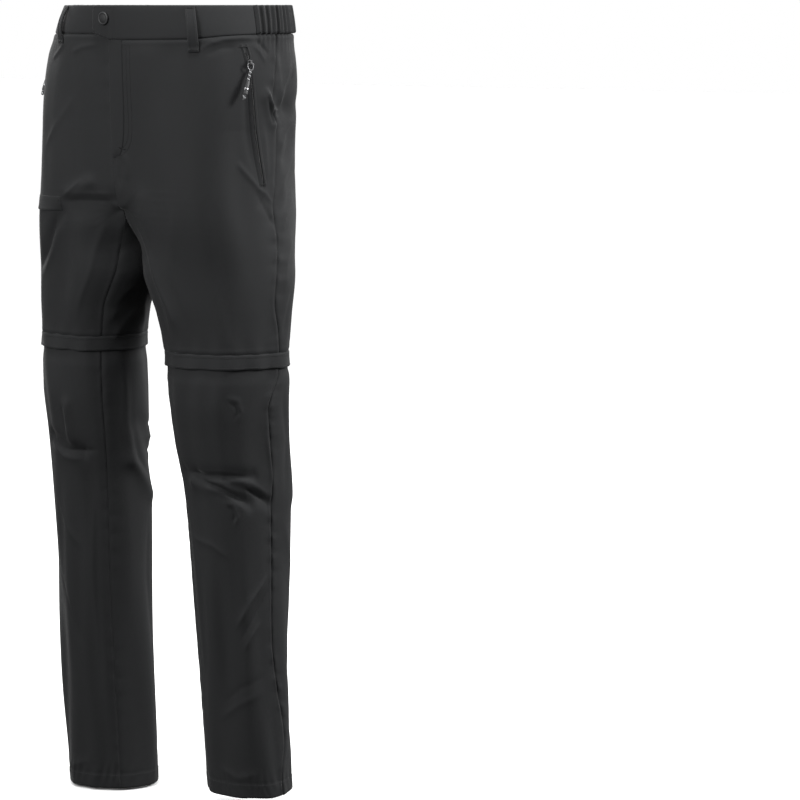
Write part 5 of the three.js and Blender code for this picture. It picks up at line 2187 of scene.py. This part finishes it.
    def _zip(self, side: Side) -> None:
        """Tape and coil in the slit."""
        cloth, length = self.shop.cloth, self.shop.length
        around, down = (values[:, None] for values in self.line(edged(0, 1, 2.2, self.foot[1] - self.top[1])))
        across = np.array([-4.0, -3.2, -1.9, -1.2, 0, 1.2, 1.9, 3.2, 4.0])
        lift = 0.2 + 0.05 * np.cos(across * 2.2)
        tape = self.shop.patch(side, around + across / length, down, lift, 0.06, stray=False)
        self.shop.piece(f"pocket_zip_{side.label}", tape, "tape", Slot.ZIP, [f"pocket_zip_{side.label}"])
        run = 170
        place = np.linspace(0.06, 0.99, round(run / self.tooth_pitch))
        a, d = self.line(place)
        point = cloth.at(side, a, d, 0.5, stray=False)
        out = cloth.shell.normal(side.value, a, d)
        aside = cloth.at(side, a + 1 / length, d, 0.5, stray=False) - point
        lean = np.cross(out, aside) * (0.28 * np.where(np.arange(len(place)) % 2, 1, -1))[:, None]
        coil = Mesher.copies(Mesher.capsule(2.7, 0.45, 6), frames_of(point, aside + lean, out),
                             triples(place * run, 0, 0.2))
        self.shop.piece(f"pocket_coil_{side.label}", coil, "coil", Slot.ZIP)

    def _slider(self, side: Side) -> None:
        """Slider: a tapered body with side flanges, and the bridge that holds the ring."""
        matrix = self.hang(side) @ shifted(0, 0, -self.axle)
        body = rounded_block(6.4, 10, 1.5, 4.0, 0.35, 0.72).carried(shifted(0, 0, 0.9))
        flanges = [rounded_block(1.0, 7.6, 2.0, 5, 0.25).carried(shifted(x, -0.3, 0.95)) for x in (-2.7, 2.7)]
        arch = np.array([(-3.6, 1.2), (-3.3, 2.6), (-2.5, 4.0), (-1.2, 4.75), (0.2, 4.8), (1.4, 4.5),
                         (2.4, 3.6),
                         (2.9, 2.4), (3.1, 1.2)])
        rings = []
        for i, (y, z) in enumerate(arch):
            ahead, behind = arch[min(i + 1, len(arch) - 1)], arch[max(i - 1, 0)]
            ty, tz = (ahead - behind) / np.linalg.norm(ahead - behind)
            half, thick = 1.15 + 0.35 * math.cos(i * 0.75) ** 2, 0.38
            corners = [(-half, thick), (-half * 0.6, thick * 1.25), (half * 0.6, thick * 1.25), (half, thick),
                       (half, -thick), (-half, -thick)]
            rings.append([(x, y - tz * h, z + ty * h) for x, h in corners])
        part = Part.joined([body, *flanges, Mesher.body(np.array(rings, float), 0.9)])
        name = f"pocket_slider_{side.label}"
        self.shop.piece(name, part.carried(matrix), "enamel", Slot.METAL, [name])

    def _ring(self, side: Side) -> None:
        """The wire ring between slider and cord."""
        width, length, wire = self.ring
        x = (width - wire) / 2
        outline = np.array([(0, 0), (x - 1, 0), (x - 0.3, 0.3), (x, 1.2), (x, length * 0.5),
                            (x * 0.82, length - wire * 1.9), (x * 0.45, length - wire * 1.1),
                            (0, length - wire)])
        mirrored = outline[1:-1][::-1] * (-1, 1)
        loop = np.concatenate([outline, mirrored, outline[:1]])
        along = run_lengths(loop)
        place = np.linspace(0, along[-1], 73)[:-1]
        line = triples(np.interp(place, along, loop[:, 0]), np.interp(place, along, loop[:, 1]), 0)
        for _ in range(3):
            line = 0.5 * line + 0.25 * (np.roll(line, 1, 0) + np.roll(line, -1, 0))
        part = Mesher.tube(line, wire / 2, 10, closed=True)
        part.grain[:, 2] = 0.6
        name = f"pull_bail_{side.label}"
        body = Body.PULL_LEFT if side is L else Body.PULL_RIGHT
        self.shop.piece(name, part.carried(self.hang(side)), "plated", Slot.METAL, [name], body)


@dataclass
class ThighPocket:
    """Welt pocket on the right thigh: a folded strip whose lower edge stands off, with stitched ends."""

    shop: Workshop
    ends: tuple[float, float] = (0.179, 0.357)
    top: float = 250.0
    foot: float = 269.0

    def build(self) -> None:
        """Builds the welt and its stitches."""
        cloth, length = self.shop.cloth, self.shop.length
        around = edged(*self.ends, 2.4, length)
        level = np.array([0, 0.02, 0.06, 0.14, 0.3, 0.5, 0.7, 0.85, 0.94, 0.98, 1.0])[:, None]
        rise = np.array([0.1, 0.3, 0.45, 0.6, 0.75, 0.85, 0.95, 1.1, 1.15, 0.85, 0.2])[:, None]
        wear = np.array([0.1, 0.3, 0.3, 0.1, 0, 0, 0, 0.1, 0.4, 0.4, 0.1])[:, None]
        share = (around - self.ends[0]) / (self.ends[1] - self.ends[0])
        gape = np.sin(np.pi * share) ** 2
        ends = 1 - 0.8 * bell(np.minimum(share, 1 - share) * 82, 1.2)
        lift = (rise + 0.9 * gape * bell(1 - level, 0.25)) * ends + 0.1
        down = self.top + level * (self.foot - self.top + 0.8 * gape)
        under = 0.05 + 0.5 * (lift - 0.6).clip(0)
        name = "thigh_pocket_welt"
        part = self.shop.patch(R, around, down, lift, under, wear, stray=False)
        self.shop.piece(name, part, "cloth", Slot.CLOTH, [name])
        sewing = self.shop.sewing
        low = self.foot - 2.2
        rows = [sewing.on_cloth(R, ((self.ends[0] + 0.006, low), (self.ends[1] - 0.006, low)), 0.95,
                                stray=False)]
        for end in (self.ends[0] + 0.008, self.ends[1] - 0.008):
            def bar(x: Array, y: Array, end: float = end) -> Array:
                """Points of the bartack for offsets across and down."""
                return cloth.at(R, end + x / length, self.top + 9 + y, 1.0, stray=False)
            rows.append(sewing.bartack(bar, 1.7, 13.0))
        self.shop.piece("thigh_pocket_sewing", Part.joined(rows), "thread", Slot.CLOTH)


@dataclass
class HemSewing:
    """Rows of stitches on the hems."""

    shop: Workshop
    below_turn: float = 1.8

    def build(self) -> None:
        """Sews both hems."""
        cloth, sewing = self.shop.cloth, self.shop.sewing
        for side in Side:
            path = spaced(0.008, 0.992, 160)
            down = np.full(161, side.hem - CUT.hem_height + self.below_turn)
            line = cloth.at(side, path, down, 0.35)
            out = cloth.shell.normal(side.value, path, down)
            self.shop.piece(f"hem_sewing_{side.label}", sewing.row(line, out), "thread", Slot.CLOTH)


# The studio.


@dataclass
class Studio:
    """Camera, lights and the pale floor.

    azimuth: Where the camera stands, in degrees round from the front towards the wearer's left.
    distance: Metres from the waist.
    yaw, pitch: How far it looks to the right of the waist and down, in degrees.
    """

    azimuth: float = 41.0
    distance: float = 4.1
    yaw: float = 4.14
    pitch: float = 7.33
    lens: float = 138.2
    floor_level: float = -1.0685
    paper: Color = (0.9, 0.9, 0.9)
    above: float = 0.62
    below: float = 0.05

    def camera(self) -> None:
        """The camera at the photograph's viewing angle."""
        data = bpy.data.cameras.new("camera")
        data.lens, data.sensor_width = self.lens, 36.0
        data.clip_start, data.clip_end = 0.1, 60.0
        camera = bpy.data.objects.new("camera", data)
        azimuth, yaw, pitch = (math.radians(a) for a in (self.azimuth, self.yaw, self.pitch))
        ahead = Vector((-math.sin(azimuth), math.cos(azimuth), 0.0))
        right = Vector((math.cos(azimuth), math.sin(azimuth), 0.0))
        level = ahead * math.cos(yaw) + right * math.sin(yaw)
        look = level * math.cos(pitch) - Vector((0, 0, 1)) * math.sin(pitch)
        self._aimed(camera, -ahead * self.distance, look)
        bpy.context.scene.camera = camera

    @staticmethod
    def _aimed(thing: bpy.types.Object, place: Vector, look: Vector) -> None:
        """Sets up a camera or a light where it stands, facing the way that it looks."""
        thing.location = place
        thing.rotation_mode = "QUATERNION"
        thing.rotation_quaternion = look.to_track_quat("-Z", "Y")
        bpy.context.scene.collection.objects.link(thing)

    def floor(self) -> None:
        """A wide sheet of pale paper under the trousers."""
        reach = 30.0
        mesh = bpy.data.meshes.new("floor")
        corners = [(-reach, -reach), (reach, -reach), (reach, reach), (-reach, reach)]
        mesh.from_pydata([(x, y, self.floor_level) for x, y in corners], [], [(0, 1, 2, 3)])
        material = bpy.data.materials.new("pale_paper")
        material.use_nodes = True
        make, shader = Nodes(material.node_tree), material.node_tree.nodes["Principled BSDF"]
        shader.inputs["Roughness"].default_value = 0.95
        shader.inputs["Specular IOR Level"].default_value = 0.1
        noise = make.node("ShaderNodeTexNoise", {"Scale": 6.0, "Detail": 3.0})
        tone = make.mix(noise.outputs["Fac"], rgba(lighter(self.paper, -0.01)),
                        rgba(lighter(self.paper, 0.01)))
        make.join(tone, shader.inputs["Base Color"])
        mesh.materials.append(material)
        floor = bpy.data.objects.new("floor", mesh)
        floor.visible_diffuse = floor.visible_glossy = False
        bpy.context.scene.collection.objects.link(floor)

    def light(self, name: str, place: tuple[float, float, float], size: tuple[float, float], power: float,
              target: tuple[float, float, float] = (0, 0, -0.5)) -> None:
        """A soft box.

        Args:
            name: Its name.
            place: Where it stands, in metres.
            size: Width and height, in metres.
            power: Its power in watts.
            target: The point that it faces.
        """
        data = bpy.data.lights.new(name, "AREA")
        data.shape, data.energy = "RECTANGLE", power
        data.size, data.size_y = size
        self._aimed(bpy.data.objects.new(name, data), Vector(place), Vector(target) - Vector(place))

    def build(self) -> None:
        """Lights, floor, surroundings and plain colour handling."""
        self.floor()
        scene = bpy.context.scene
        scene.view_settings.view_transform = "Standard"
        self.surroundings()
        self.sun("overhead", (0.05, -0.15, 1.0), 14, 1.9)
        self.light("key", (-0.35, -2.9, 0.75), (1.3, 1.3), 74, (0, 0, -0.4))
        self.light("rim", (2.9, 1.7, 1.3), (0.7, 1.3), 165, (0.1, 0, -0.1))
        self.light("left_rim", (-3.3, 1.4, 0.9), (0.8, 2.2), 40)
        self.light("back", (-0.8, 3.4, 1.6), (2.4, 2.0), 80)

    def surroundings(self) -> None:
        """White surroundings that light from above more than from below."""
        world = bpy.data.worlds.new("studio")
        bpy.context.scene.world = world
        world.use_nodes = True
        make, background = Nodes(world.node_tree), world.node_tree.nodes["Background"]
        background.inputs["Color"].default_value = (1, 1, 1, 1)
        direction = make.tree.nodes.new("ShaderNodeTexCoord")
        split = make.node("ShaderNodeSeparateXYZ", {0: direction.outputs["Generated"]})
        seen = make.tree.nodes.new("ShaderNodeLightPath")
        strength = make.ramp(split.outputs[2], (-0.35, self.below), (0.75, self.above))
        strength = make.math("MAXIMUM", strength, seen.outputs["Is Camera Ray"])
        make.join(strength, background.inputs["Strength"])

    def sun(self, name: str, place: tuple[float, float, float], spread: float, strength: float) -> None:
        """A far soft light that falls the same everywhere.

        Args:
            name: Its name.
            place: The direction that it comes from.
            spread: How wide it is, in degrees.
            strength: Its strength.
        """
        data = bpy.data.lights.new(name, "SUN")
        data.angle, data.energy = math.radians(spread), strength
        self._aimed(bpy.data.objects.new(name, data), Vector(), -Vector(place))


def main() -> None:
    """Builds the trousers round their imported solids, and the studio."""
    logging.basicConfig(level=logging.INFO, format="%(name)s: %(message)s")
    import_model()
    studio = Studio()
    studio.camera()

    shell = Shell()
    cloth = Cloth(shell, Relief(shell))
    shop = Workshop(cloth, Sewing(cloth), Wardrobe().dyed(Effects()))
    pocket = FrontPocket(shop)
    for side in Side:
        pocket.build_pull(side)
    for assembly in (Waistband(shop), BeltLoops(shop), Snap(shop), Panels(shop), Fly(shop), KneeZip(shop),
                     ThighPocket(shop), HemSewing(shop)):
        assembly.build()
    for side in Side:
        pocket.build(side)
    studio.build()


if __name__ == "__main__":
    main()
